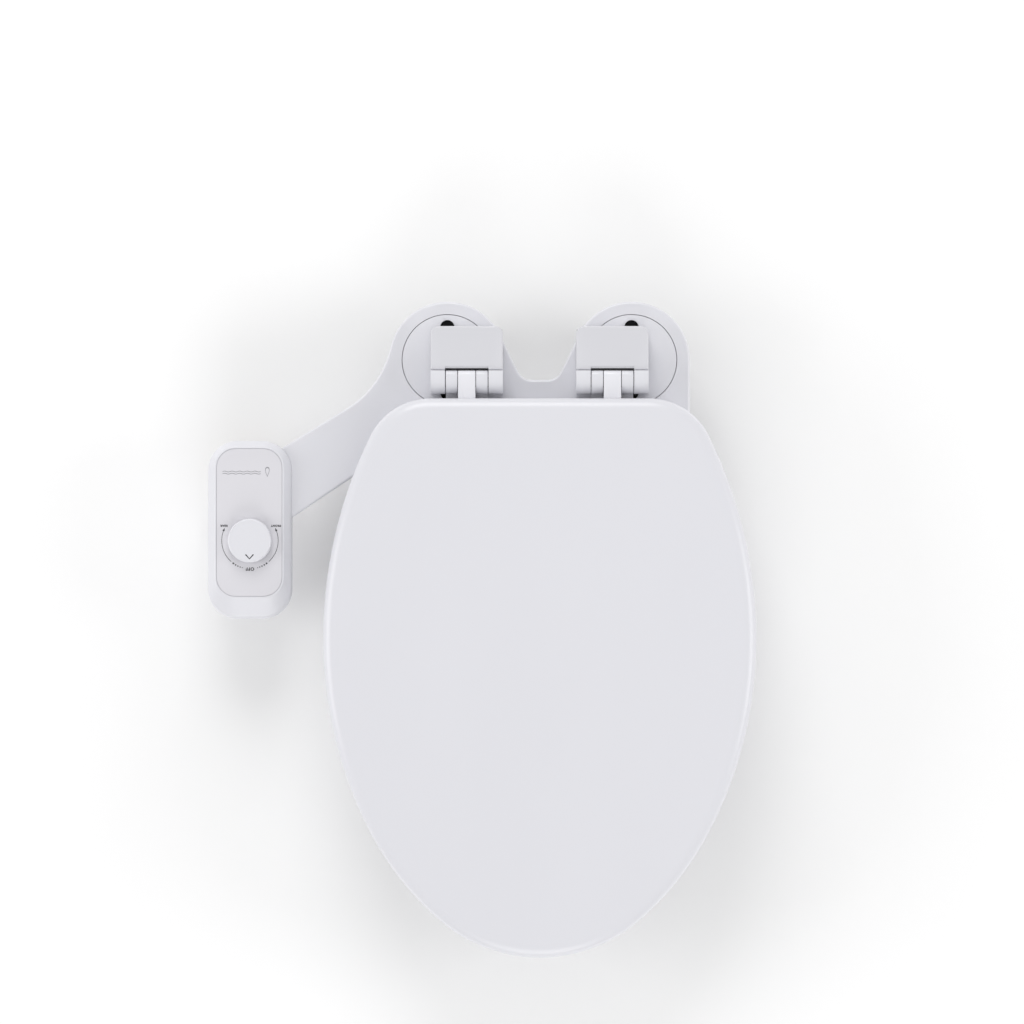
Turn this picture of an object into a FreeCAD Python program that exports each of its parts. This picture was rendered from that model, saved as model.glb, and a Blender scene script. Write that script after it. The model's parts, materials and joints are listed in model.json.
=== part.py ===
import FreeCAD, Part
import Sketcher
import math
import os
from FreeCAD import Placement, Rotation, Vector

# A toilet seat and lid with a slim water-pressure bidet under it. Millimetres, +Z up, +Y towards the
# tank, +X to the right of a person who faces the tank. The origin is halfway between the two mounting
# bolts, on the plate's underside, which lies on the ceramic deck.

SIZES = {
    # fixing to the deck
    "bolt_spacing": 155.0,
    "deck_thickness": 30.0,
    "bolt_neck_radius": 4.2,
    "bolt_radius": 4.0,
    "bolt_thread_radius": 3.8,
    "bolt_head_radius": 7.5,
    "bolt_head_height": 5.5,
    "bolt_tail": 66.0,
    "cone_height": 8.0,
    "cone_top_radius": 14.0,
    "cone_foot_radius": 10.5,
    "nut_height": 12.0,
    "nut_hub_radius": 8.5,
    "wing_reach": 17.0,
    "wing_thickness": 3.4,
    # bidet plate and its ears
    "plate_height": 9.0,
    "plate_edge_fillet": 2.2,
    "cover_wall": 2.0,
    "floor_thickness": 1.6,
    "floor_clearance": 0.15,
    "ear_radius": 49.1,
    "disc_setback": 10.0,
    "disc_radius": 37.9,
    "disc_gap": 0.5,
    "disc_ledge_radius": 34.5,
    "disc_top_drop": 0.2,
    "disc_lift": 0.3,
    "slot_width": 12.0,
    "slot_length": 67.0,
    "gasket_radius": 34.2,
    "gasket_top": 1.7,
    "plate_front": 66.0,
    "notch_depth": 26.9,
    "notch_half_width": 14.7,
    "notch_radius": 13.3,
    "tongue_front": 94.0,
    "tongue_half_width": 30.0,
    "tongue_root_half_width": 48.0,
    "arm_end": 222.0,
    "arm_rear_angle": 31.5,
    "arm_front_angle": 33.8,
    "screw_post_radius": 3.0,
    "screw_hole_radius": 1.1,
    "screw_head_radius": 2.4,
    "screw_clearance": 1.15,
    "hose_door_front": 130.0,
    "hose_door_rear": 96.0,
    "hose_door_top": 6.9,
    # seat hinge
    "hinge_inner": 30.7,
    "hinge_outer": 91.3,
    "axis_setback": 29.0,
    "axis_height": 25.3,
    "barrel_radius": 10.0,
    "knuckle_gap": 0.5,
    "knuckle_rear": 19.5,
    "knuckle_fillet": 4.0,
    "strap_bottom": 12.8,
    "strap_top": 17.5,
    "lid_knuckle_width": 14.6,
    "ring_knuckle_width": 9.8,
    "hinge_pin_radius": 4.5,
    "running_fit": 0.05,
    "base_lift": 0.3,
    "base_foot_height": 4.7,
    "tower_rear": 19.4,
    "tower_front": 9.0,
    "base_web_top": 11.8,
    "base_foot_rear": 9.7,
    "lug_front": 5.0,
    "bolt_cup_radius": 10.6,
    "bolt_cup_height": 7.0,
    "cap_top": 33.0,
    "cap_wall": 1.8,
    "cap_top_thickness": 2.0,
    "cap_front": 19.0,
    "cap_rear": 17.7,
    "cap_corner": 6.5,
    "cap_front_corner": 0.4,
    "cap_edge_fillet": 1.4,
    "cap_step_rear": 16.1,
    "cap_step_drop": 0.8,
    "cap_lip": 17.5,
    "cap_lip_thickness": 1.3,
    "cap_under_lip": 16.2,
    "cap_axis_y": 14.2,
    "cap_axis_z": 13.0,
    "cap_heel_radius": 3.5,
    "cap_pin_radius": 1.2,
    "lug_thickness": 4.0,
    "lug_clearance": 0.3,
    "hidden_part_clearance": 0.4,
    # lid and seat ring
    "lid_rear": 42.9,
    "lid_half_width": 181.3,
    "lid_widest": 201.8,
    "lid_front_length": 266.0,
    "lid_bottom": 31.5,
    "lid_top": 47.0,
    "lid_wall": 3.0,
    "lid_edge_fillet": 9.0,
    "ring_inset": 2.5,
    "ring_bottom": 12.0,
    "ring_top": 29.5,
    "ring_wall": 3.0,
    "ring_edge_fillet": 6.0,
    "opening_rear": 150.0,
    "opening_half_width": 106.0,
    "opening_widest": 130.0,
    "opening_front_length": 167.0,
    "strap_root": 7.0,
    "rear_pad_front": 62.0,
    "rear_pad_rear": 40.0,
    "bumper_stem_radius": 3.05,
    "lid_stem_radius": 2.55,
    "lid_arm_thickness": 3.6,
    "lid_arm_reach": 80.0,
    "lid_arm_corner": 4.0,
    "lid_arm_head_radius": 3.2,
    "lid_arm_head_step": 1.6,
    "lid_arm_hole_radius": 1.7,
    "lid_screw_hole_radius": 1.65,
    "bumper_radius": 8.0,
    # control box
    "box_x": 243.6,
    "box_y": 153.1,
    "box_width": 70.7,
    "box_length": 149.8,
    "box_corner": 25.2,
    "box_wall": 2.4,
    "box_bottom": 28.0,
    "box_split": 4.0,
    "box_shoulder": 10.5,
    "box_face": 18.0,
    "face_x": 243.8,
    "face_y": 146.8,
    "face_width": 55.0,
    "face_length": 124.0,
    "face_corner": 16.0,
    "face_groove": 0.18,
    "face_recess": 2.3,
    "face_thickness": 2.2,
    "box_taper": 3.5,
    "box_shoulder_fillet": 6.0,
    "box_rim": 1.4,
    "box_rim_fillet": 0.8,
    "box_foot_fillet": 4.0,
    "boss_radius": 3.8,
    "foot_boss_radius": 4.2,
    "boss_hole_radius": 1.35,
    "foot_hole_radius": 1.8,
    "foot_sink_radius": 3.3,
    "foot_sink_top": 17.0,
    "stem_opening": 8.5,
    "arm_door_gap": 0.15,
    # dial and valve
    "dial_x": 243.2,
    "dial_y": 162.0,
    "knob_radius": 18.6,
    "knob_bottom": 18.7,
    "knob_top": 27.0,
    "stem_radius": 4.0,
    "stem_tip_radius": 3.0,
    "valve_radius": 15.0,
    "valve_bottom": 24.0,
    "valve_top": 8.0,
    "cavity_radius": 10.0,
    "disc_stack_bottom": 6.0,
    "ceramic_thickness": 3.2,
    "duct_radius": 5.0,
    "duct_bore_radius": 3.0,
    "duct_drop": 18.0,
    "inlet_cup_radius": 12.0,
    "inlet_cup_top": 11.5,
    "inlet_socket_top": 14.0,
    "port_radius": 1.9,
    "spigot_sleeve_radius": 3.4,
    "spigot_sleeve_length": 16.0,
    "spigot_length": 22.0,
    # water inlet and hoses
    "inlet_y": 105.0,
    "inlet_radius": 10.48,
    "inlet_thread_length": 14.0,
    "inlet_flange_radius": 13.0,
    "inlet_flange_height": 4.0,
    "inlet_spigot_radius": 9.0,
    "inlet_bore_radius": 6.2,
    "hose_radius": 2.5,
    "hose_bore_radius": 1.6,
    "hose_height": 4.3,
    # nozzles
    "nozzle_tilt": 25.0,
    "nozzle_base_y": 69.5,
    "nozzle_base_z": 0.9,
    "nozzle_spacing": 19.0,
    "nozzle_radius": 4.2,
    "nozzle_bore_radius": 5.3,
    "nozzle_guide_radius": 4.5,
    "housing_length": 58.0,
    "housing_wall": 1.8,
    "spring_wire_radius": 0.35,
    "spring_turns": 11.0,
    "guard_thickness": 2.0,
    "guard_half_width": 18.0,
    "guard_drop": 9.0,
    "guard_rise": 6.0,
    "guard_neck_half": 11.0,
    "guard_barrel_radius": 2.2,
    "guard_slot_radius": 5.6,
    "guard_pin_radius": 1.0,
    "guard_pin_half": 14.6,
    "guard_lug_inner": 11.4,
    "guard_lug_outer": 14.4,
}

doc = FreeCAD.newDocument("BidetSeat")
sheet = doc.addObject("Spreadsheet::Sheet", "Sizes")
for row, (alias, value) in enumerate(SIZES.items(), start=1):
    sheet.set(f"A{row}", alias)
    sheet.set(f"B{row}", str(value))
    sheet.setAlias(f"B{row}", alias)
doc.recompute()


class Size:
    """A number together with the sheet expression it comes from, so that arithmetic keeps both."""

    def __init__(self, value, text):
        self.value = value
        self.text = text

    def __add__(self, other):
        return Size(self.value + number(other), f"({self.text} + {words(other)})")

    def __sub__(self, other):
        return Size(self.value - number(other), f"({self.text} - {words(other)})")

    def __mul__(self, other):
        return Size(self.value * number(other), f"({self.text} * {words(other)})")

    def __truediv__(self, other):
        return Size(self.value / number(other), f"({self.text} / {words(other)})")

    def __neg__(self):
        return Size(-self.value, f"(0 - {self.text})")


def number(size):
    return size.value if isinstance(size, Size) else float(size)


def words(size):
    return size.text if isinstance(size, Size) else f"({float(size):.6g})"


def cell(alias):
    """The sheet's cell as a Size, for features whose sizes are bound to it."""
    return Size(float(sheet.get(alias)), f"Sizes.{alias}")


class Cells:
    """Reads the sheet's cells as plain numbers: mm.lid_top."""

    def __getattr__(self, alias):
        return float(sheet.get(alias))


mm = Cells()
parts = []


def keep(feature, label):
    """Names a finished sub-part. Its label is its file's name."""
    feature.Label = label
    parts.append(feature)
    return feature


# ---- PartDesign helpers: sketches whose points are bound to the sheet ----

def new_body(name):
    return doc.addObject("PartDesign::Body", name)


def origin_plane(body, role):
    return next(o for o in body.Origin.OriginFeatures if o.Role == role)


def bind(feature, prop, size):
    feature.setExpression(prop, words(size))


def sketch_on(body, role, height=0):
    """An empty sketch on one of the body's own planes, lifted along the plane's normal."""
    sketch = body.newObject("Sketcher::SketchObject", "Sketch")
    sketch.AttachmentSupport = [(origin_plane(body, role), "")]
    sketch.MapMode = "FlatFace"
    bind(sketch, ".AttachmentOffset.Base.z", height)
    return sketch


def draw_polygon(sketch, points):
    """A closed polygon with both coordinates of every corner bound to the sheet."""
    first = sketch.GeometryCount
    count = len(points)
    for i in range(count):
        (x0, y0), (x1, y1) = points[i], points[(i + 1) % count]
        start = Vector(number(x0), number(y0), 0)
        end = Vector(number(x1), number(y1), 0)
        sketch.addGeometry(Part.LineSegment(start, end), False)
    for i in range(count):
        edge, following = first + i, first + (i + 1) % count
        sketch.addConstraint(Sketcher.Constraint("Coincident", edge, 2, following, 1))
    for i, (x, y) in enumerate(points):
        for kind, size in (("DistanceX", x), ("DistanceY", y)):
            held = Sketcher.Constraint(kind, -1, 1, first + i, 1, number(size))
            index = sketch.addConstraint(held)
            if isinstance(size, Size):
                bind(sketch, f"Constraints[{index}]", size)


def draw_circle(sketch, x, y, radius):
    """A circle whose centre and radius are bound to the sheet."""
    centre = Vector(number(x), number(y), 0)
    index = sketch.addGeometry(Part.Circle(centre, Vector(0, 0, 1), number(radius)), False)
    for kind, size in (("DistanceX", x), ("DistanceY", y)):
        held = Sketcher.Constraint(kind, -1, 1, index, 3, number(size))
        place = sketch.addConstraint(held)
        if isinstance(size, Size):
            bind(sketch, f"Constraints[{place}]", size)
    ring = sketch.addConstraint(Sketcher.Constraint("Radius", index, number(radius)))
    if isinstance(radius, Size):
        bind(sketch, f"Constraints[{ring}]", radius)


def pad(body, sketch, length, midplane=False):
    feature = body.newObject("PartDesign::Pad", "Pad")
    feature.Profile = sketch
    bind(feature, "Length", length)
    if midplane:
        feature.SideType = "Symmetric"
    doc.recompute()
    return feature


def pocket(body, sketch, length, reverse=False):
    """Cuts a sketch into the body, and stops if it removed nothing."""
    before = body.Shape.Volume
    feature = body.newObject("PartDesign::Pocket", "Pocket")
    feature.Profile = sketch
    bind(feature, "Length", length)
    feature.Reversed = reverse
    doc.recompute()
    if body.Shape.Volume >= before:
        raise RuntimeError(f"{body.Name}: a pocket removed nothing")
    return feature


def turned(name, profile):
    """A body turned about its own Z axis from a profile of (radius, height) corners."""
    body = new_body(name)
    sketch = sketch_on(body, "XZ_Plane")
    draw_polygon(sketch, profile)
    feature = body.newObject("PartDesign::Revolution", "Revolution")
    feature.Profile = sketch
    feature.ReferenceAxis = (sketch, ["V_Axis"])
    feature.Angle = 360
    doc.recompute()
    return body


def place(feature, x=0, y=0, z=0, rotation=None):
    """Puts a sub-part in place, with each coordinate bound to the sheet."""
    feature.Placement = Placement(Vector(number(x), number(y), number(z)), rotation or Rotation())
    for axis, size in (("x", x), ("y", y), ("z", z)):
        if isinstance(size, Size):
            bind(feature, f".Placement.Base.{axis}", size)
    return feature


def group(label, members):
    """Identical pieces, each a solid of its own, that share one node."""
    compound = doc.addObject("Part::Compound", label)
    compound.Links = members
    doc.recompute()
    return keep(compound, label)


# ---- shapes made with Part's functions, for the moulded shells ----

def shell(label, shape, placement=None):
    feature = doc.addObject("Part::Feature", label)
    feature.Shape = shape
    feature.Placement = placement or Placement()
    return keep(feature, label)


def block(x0, x1, y0, y1, z0, z1):
    return Part.makeBox(x1 - x0, y1 - y0, z1 - z0, Vector(x0, y0, z0))


def rod(radius, x, y, z0, z1):
    """An upright cylinder."""
    return Part.makeCylinder(radius, z1 - z0, Vector(x, y, z0))


def bar(radius, x0, x1, y, z):
    """A cylinder that lies along X."""
    return Part.makeCylinder(radius, x1 - x0, Vector(x0, y, z), Vector(1, 0, 0))


def arc_edge(cx, cy, radius, start, end):
    """An arc about (cx, cy), with its angles in degrees."""
    at = [math.radians(a) for a in (start, (start + end) / 2, end)]
    points = [Vector(cx + radius * math.cos(a), cy + radius * math.sin(a), 0) for a in at]
    return Part.Arc(*points).toShape()


def rounded_polygon(corners):
    """A closed wire through (x, y, radius) corners, each rounded by a tangent arc."""
    count = len(corners)
    bends = []
    for i, (x, y, radius) in enumerate(corners):
        here = Vector(x, y, 0)
        back = Vector(*corners[i - 1][:2], 0) - here
        ahead = Vector(*corners[(i + 1) % count][:2], 0) - here
        back.normalize()
        ahead.normalize()
        half = back.getAngle(ahead) / 2
        reach = radius / math.tan(half)
        middle = back + ahead
        middle.normalize()
        crown = here + middle * (radius / math.sin(half) - radius)
        bends.append((here + back * reach, crown, here + ahead * reach))
    edges = []
    for i in range(count):
        start, crown, end = bends[i]
        following = bends[(i + 1) % count][0]
        touching = end.distanceToPoint(following) < 0.01
        if touching:
            end = following
        edges.append(Part.Arc(start, crown, end).toShape())
        if not touching:
            edges.append(Part.LineSegment(end, following).toShape())
    return Part.Wire(Part.__sortEdges__(edges))


def prism(wire, bottom, top):
    face = Part.Face(wire)
    if face.normalAt(0, 0).z < 0:
        face.reverse()
    solid = face.extrude(Vector(0, 0, top - bottom))
    solid.translate(Vector(0, 0, bottom))
    return solid


def flat_edges_at(shape, height, tolerance=1e-3):
    """The edges that lie wholly at one height."""
    return [
        edge for edge in shape.Edges
        if abs(edge.BoundBox.ZMin - height) < tolerance and abs(edge.BoundBox.ZMax - height) < tolerance
    ]


def rounded_rectangle(x, y, width, length, radius):
    half_w, half_l = width / 2, length / 2
    corners = [(half_w, half_l), (-half_w, half_l), (-half_w, -half_l), (half_w, -half_l)]
    return rounded_polygon([(x + cx, y + cy, radius) for cx, cy in corners])


def egg(inset, rear, widest, half_width, front_length, radii, shoulder_angle):
    """A seat's outline: a straight rear edge, round corners, gently curved sides and a round nose.

    All its arcs are tangent. An inset moves the whole line inwards and keeps each arc's centre.
    """
    corner, rear_side, front_side, nose = (radius - inset for radius in radii)
    half_width -= inset
    front_length -= inset
    widest -= inset
    rear += inset
    widest_y = -(rear + widest)
    rear_side_x = half_width - rear_side
    flat = rear_side_x + math.sqrt((rear_side - corner) ** 2 - (widest - corner) ** 2)
    corner_angle = math.degrees(math.asin((widest - corner) / (rear_side - corner)))
    turn = math.radians(shoulder_angle)
    across = front_side - half_width
    along = front_length - nose
    spread = front_side - nose
    span = (across ** 2 + along ** 2 - spread ** 2) / (
        2 * (across * math.cos(turn) + along * math.sin(turn) - spread)
    )
    shoulder = front_side - span
    shoulder_x = -across + span * math.cos(turn)
    shoulder_drop = span * math.sin(turn)
    toward = 1 if shoulder > nose else -1
    nose_angle = math.degrees(math.atan2(toward * (along - shoulder_drop), toward * -shoulder_x))
    right = [
        (flat, -rear - corner, corner, 90, corner_angle),
        (rear_side_x, widest_y, rear_side, corner_angle, 0),
        (-across, widest_y, front_side, 0, -shoulder_angle),
        (shoulder_x, widest_y - shoulder_drop, shoulder, -shoulder_angle, -nose_angle),
    ]
    edges = [Part.LineSegment(Vector(-flat, -rear, 0), Vector(flat, -rear, 0)).toShape()]
    edges += [arc_edge(*arc) for arc in right]
    edges.append(arc_edge(0, widest_y - along, nose, -nose_angle, nose_angle - 180))
    edges += [arc_edge(-x, y, r, 180 - end, 180 - start) for x, y, r, start, end in reversed(right)]
    return Part.Wire(Part.__sortEdges__(edges))


# radii of the rear corner, the side behind and before the widest point, and the nose
LID_RADII = (56, 385, 347, 127)
OPENING_RADII = (70, 230, 250, 70)
SHOULDER_ANGLE = 28


def lid_outline(inset=0.0):
    return egg(inset, mm.lid_rear, mm.lid_widest, mm.lid_half_width, mm.lid_front_length,
               LID_RADII, SHOULDER_ANGLE)


def opening_outline(inset=0.0):
    return egg(inset, mm.opening_rear, mm.opening_widest, mm.opening_half_width,
               mm.opening_front_length, OPENING_RADII, SHOULDER_ANGLE)


SIDES = {"left": -1, "right": 1}


def ear_centre(side):
    return side * mm.bolt_spacing / 2, -mm.disc_setback


# ---- bidet plate ----

def plate_outline(with_tongue=True):
    """Two round ears with a notch between them, an arm to the left and a tongue over the nozzles."""
    ear_x, ear_y = ear_centre(1)
    top = ear_y + mm.ear_radius
    to_ear = Vector(ear_x - mm.notch_half_width, ear_y + mm.notch_depth, 0)
    notch_slope = math.atan2(to_ear.y, to_ear.x) + math.asin(mm.ear_radius / to_ear.Length)
    arm_leave = math.radians(165)
    rear_slope = math.tan(math.radians(mm.arm_rear_angle))
    front_slope = math.tan(math.radians(mm.arm_front_angle))
    # each ear's arc rounds the corner where its tangents meet
    notch_corner = ear_x - mm.ear_radius * math.tan(notch_slope / 2)
    arm_corner = -ear_x - mm.ear_radius * math.tan(arm_leave / 2 - math.pi / 4)
    # the arm's rear edge leaves the ear on a tangent, then bends once
    touch_x = -ear_x + mm.ear_radius * math.cos(arm_leave)
    touch_y = ear_y + mm.ear_radius * math.sin(arm_leave)
    edge_slope = math.tan(arm_leave - math.pi / 2)
    arm_rear = (-206.0, -77.5)
    arm_front = (-160.1, -110.5)
    bend_x = (touch_y - arm_rear[1] + rear_slope * arm_rear[0] - edge_slope * touch_x) / (
        rear_slope - edge_slope
    )
    bend_y = arm_rear[1] + rear_slope * (bend_x - arm_rear[0])
    corners = [
        (ear_x + mm.ear_radius, top, mm.ear_radius),
        (notch_corner, top, mm.ear_radius),
        (mm.notch_half_width, -mm.notch_depth, mm.notch_radius),
        (-mm.notch_half_width, -mm.notch_depth, mm.notch_radius),
        (-notch_corner, top, mm.ear_radius),
        (arm_corner, top, mm.ear_radius),
        (bend_x, bend_y, 80),
        (-mm.arm_end, arm_rear[1] + rear_slope * (-mm.arm_end - arm_rear[0]), 4),
        (-mm.arm_end, arm_front[1] + front_slope * (-mm.arm_end - arm_front[0]), 4),
        (arm_front[0] + (-mm.plate_front - arm_front[1]) / front_slope, -mm.plate_front, 60),
    ]
    if with_tongue:
        corners += [
            (-mm.tongue_root_half_width, -mm.plate_front, 18),
            (-mm.tongue_half_width, -mm.tongue_front, 14),
            (mm.tongue_half_width, -mm.tongue_front, 14),
            (mm.tongue_root_half_width, -mm.plate_front, 18),
        ]
    corners.append((ear_x + mm.ear_radius, -mm.plate_front, 12))
    return rounded_polygon(corners)


def inset_wire(wire, distance):
    return wire.makeOffset2D(-distance)


PLATE_SCREWS = [(-122, -48), (-152, -97), (-36, -45), (36, -45), (122, -48), (100, -57)]


def plate_covers():
    height, wall = mm.plate_height, mm.cover_wall
    outline = plate_outline()
    cover = prism(outline, 0, height)
    cover = cover.makeFillet(mm.plate_edge_fillet, flat_edges_at(cover, height))
    hollow = prism(inset_wire(outline, wall), -1, height - wall)
    hole_radius = mm.disc_radius + mm.disc_gap
    for side in SIDES.values():
        hollow = hollow.cut(rod(hole_radius + wall, *ear_centre(side), -1, height))
    cover = cover.cut(hollow)
    floor = prism(inset_wire(plate_outline(with_tongue=False), wall + mm.floor_clearance), 0,
                  mm.floor_thickness)
    # the floor stops where the arm enters the control box, and leaves the hoses room there
    box_side = mm.box_width / 2 - mm.box_x
    floor = floor.cut(block(-mm.arm_end, box_side + 0.6, -mm.box_y, 0, -1, height))
    for side in SIDES.values():
        cover = cover.cut(rod(hole_radius, *ear_centre(side), -1, height + 1))
        cover = cover.cut(rod(hole_radius + wall + 1, *ear_centre(side), -1, mm.floor_thickness + 0.1))
        floor = floor.cut(rod(mm.disc_ledge_radius, *ear_centre(side), -1, height))
    # the arm's end wall is open for the two hoses
    hose_door = block(-mm.arm_end - 1, -mm.arm_end + wall + 1, -mm.hose_door_front,
                      -mm.hose_door_rear, mm.floor_thickness, mm.hose_door_top)
    cover = cover.cut(hose_door)
    for x, y in PLATE_SCREWS:
        cover = cover.fuse(rod(mm.screw_post_radius, x, y, mm.floor_thickness + 0.1, height - wall + 0.2))
        cover = cover.cut(rod(mm.screw_hole_radius, x, y, -1, height - wall - 0.6))
        floor = floor.cut(Part.makeCone(mm.screw_head_radius, mm.screw_clearance, 1.25, Vector(x, y, 0)))
        floor = floor.cut(rod(mm.screw_clearance, x, y, 1, 2))
    shell("plate_top_cover", cover)
    shell("plate_bottom_cover", floor)


def plate_screws():
    """Flat-head screws that hold the bottom cover, flush with the underside."""
    members = []
    for i, (x, y) in enumerate(PLATE_SCREWS):
        profile = [(0, 0.05), (2.3, 0.05), (1.05, 1.25), (1.05, 5.6), (0, 6.2)]
        members.append(place(turned(f"PlateScrew{i}", profile), x, y))
    group("plate_screws", members)


def mounting_disc(name, side):
    """A round disc with one long slot, which turns in its ear so that the bolts reach their holes."""
    body = new_body(name)
    bottom = cell("floor_thickness") + cell("disc_lift")
    top = cell("plate_height") - cell("disc_top_drop")
    sketch = sketch_on(body, "XY_Plane", bottom)
    draw_circle(sketch, 0, 0, cell("disc_radius"))
    pad(body, sketch, top - bottom)
    slot = sketch_on(body, "XY_Plane", bottom)
    reach = cell("slot_length") / 2 - cell("slot_width") / 2
    half = cell("slot_width") / 2
    draw_polygon(slot, [(-half, -reach), (half, -reach), (half, reach), (-half, reach)])
    pocket(body, slot, top - bottom + 1, reverse=True)
    for end in (reach, -reach):
        round_end = sketch_on(body, "XY_Plane", bottom)
        draw_circle(round_end, 0, end, half)
        pocket(body, round_end, top - bottom + 1, reverse=True)
    place(body, cell("bolt_spacing") / 2 * side, -cell("disc_setback"))
    keep(body, name)


def disc_gaskets():
    """Dark rubber pads on the deck under the discs, each with a hole for its bolt."""
    pads = []
    for name, side in SIDES.items():
        body = new_body(f"Gasket_{name}")
        sketch = sketch_on(body, "XY_Plane", 0.05)
        draw_circle(sketch, 0, 0, cell("gasket_radius"))
        pad(body, sketch, cell("gasket_top") - 0.05)
        hole = sketch_on(body, "XY_Plane", 0)
        draw_circle(hole, 0, cell("disc_setback"), cell("slot_width") / 2)
        pocket(body, hole, cell("gasket_top") + 1, reverse=True)
        pads.append(place(body, cell("bolt_spacing") / 2 * side, -cell("disc_setback")))
    group("disc_gaskets", pads)


# ---- fixings through the deck ----

def fixings():
    deck = -cell("deck_thickness")
    seat_height = cell("plate_height") + cell("base_lift") + cell("base_foot_height")
    thread, cone_foot = cell("bolt_thread_radius"), deck - cell("cone_height")
    nut_foot = cone_foot - cell("nut_height")
    bolts, cones, nuts = [], [], []
    for name, side in SIDES.items():
        bolt = turned(f"Bolt_{name}", [
            (0, -cell("bolt_tail")), (thread - 1, -cell("bolt_tail")), (thread, -cell("bolt_tail") + 1),
            (thread, deck), (cell("bolt_radius"), deck), (cell("bolt_radius"), 0),
            (cell("bolt_neck_radius"), 0), (cell("bolt_neck_radius"), seat_height),
            (cell("bolt_head_radius"), seat_height),
            (cell("bolt_head_radius"), seat_height + cell("bolt_head_height") - 1),
            (cell("bolt_head_radius") - 1, seat_height + cell("bolt_head_height")),
            (2.5, seat_height + cell("bolt_head_height")), (2.5, seat_height + 2.5),
            (0, seat_height + 2.5),
        ])
        cone = turned(f"Cone_{name}", [
            (thread + 0.1, deck - 0.05), (cell("cone_foot_radius"), deck - 0.05),
            (cell("cone_top_radius"), deck - 4), (cell("cone_top_radius"), cone_foot + 0.05),
            (thread + 0.1, cone_foot + 0.05),
        ])
        nut = new_body(f"Nut_{name}")
        hub = sketch_on(nut, "XY_Plane", nut_foot)
        draw_circle(hub, 0, 0, cell("nut_hub_radius"))
        pad(nut, hub, cell("nut_height"))
        wings = sketch_on(nut, "XY_Plane", nut_foot)
        reach, half = cell("wing_reach"), cell("wing_thickness") / 2
        draw_polygon(wings, [(-reach, -half), (reach, -half), (reach, half), (-reach, half)])
        pad(nut, wings, cell("nut_height") - 2)
        bore = sketch_on(nut, "XY_Plane", nut_foot)
        draw_circle(bore, 0, 0, thread + 0.05)
        pocket(nut, bore, cell("nut_height") + 1, reverse=True)
        for body in (bolt, cone, nut):
            place(body, cell("bolt_spacing") / 2 * side)
        bolts.append(bolt)
        cones.append(cone)
        nuts.append(nut)
    group("mounting_bolts", bolts)
    group("cone_washers", cones)
    group("wing_nuts", nuts)


# ---- seat hinges ----

def knuckles():
    """The spans along the hinge line, as distances from the centre: outer, ring, lid, ring, outer."""
    centre = (mm.hinge_inner + mm.hinge_outer) / 2
    lid_half = mm.lid_knuckle_width / 2
    ring_near = lid_half + mm.knuckle_gap
    ring_far = ring_near + mm.ring_knuckle_width
    tower = ring_far + mm.knuckle_gap + 0.1
    return {
        "lid": [(centre - lid_half, centre + lid_half)],
        "ring": [(centre - ring_far, centre - ring_near), (centre + ring_near, centre + ring_far)],
        "tower": [(mm.hinge_inner, centre - tower), (centre + tower, mm.hinge_outer)],
        "moving": (centre - tower, centre + tower),
    }


def on_side(side, near, far):
    """Turns distances from the centre into an X span on the left or the right."""
    return (near, far) if side > 0 else (-far, -near)


def lug_spans():
    """X spans of the two lugs under a cap, inside its rounded rear corners."""
    inner = mm.cap_corner + mm.hidden_part_clearance
    return [
        (mm.hinge_inner + inner, mm.hinge_inner + inner + mm.lug_thickness),
        (mm.hinge_outer - inner - mm.lug_thickness, mm.hinge_outer - inner),
    ]


def moving_knuckle(span):
    """A barrel on the seat's axis, squared up behind so that it lines up with the towers at rest."""
    axis_y, axis_z, radius = -mm.axis_setback, mm.axis_height, mm.barrel_radius
    heel = block(*span, axis_y, -mm.knuckle_rear, axis_z, axis_z + radius)
    corner = [
        edge for edge in heel.Edges
        if edge.BoundBox.YMin > -mm.knuckle_rear - 0.01 and edge.BoundBox.ZMin > axis_z + radius - 0.01
    ]
    heel = heel.makeFillet(mm.knuckle_fillet, corner)
    return heel.fuse(bar(radius, *span, axis_y, axis_z))


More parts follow.
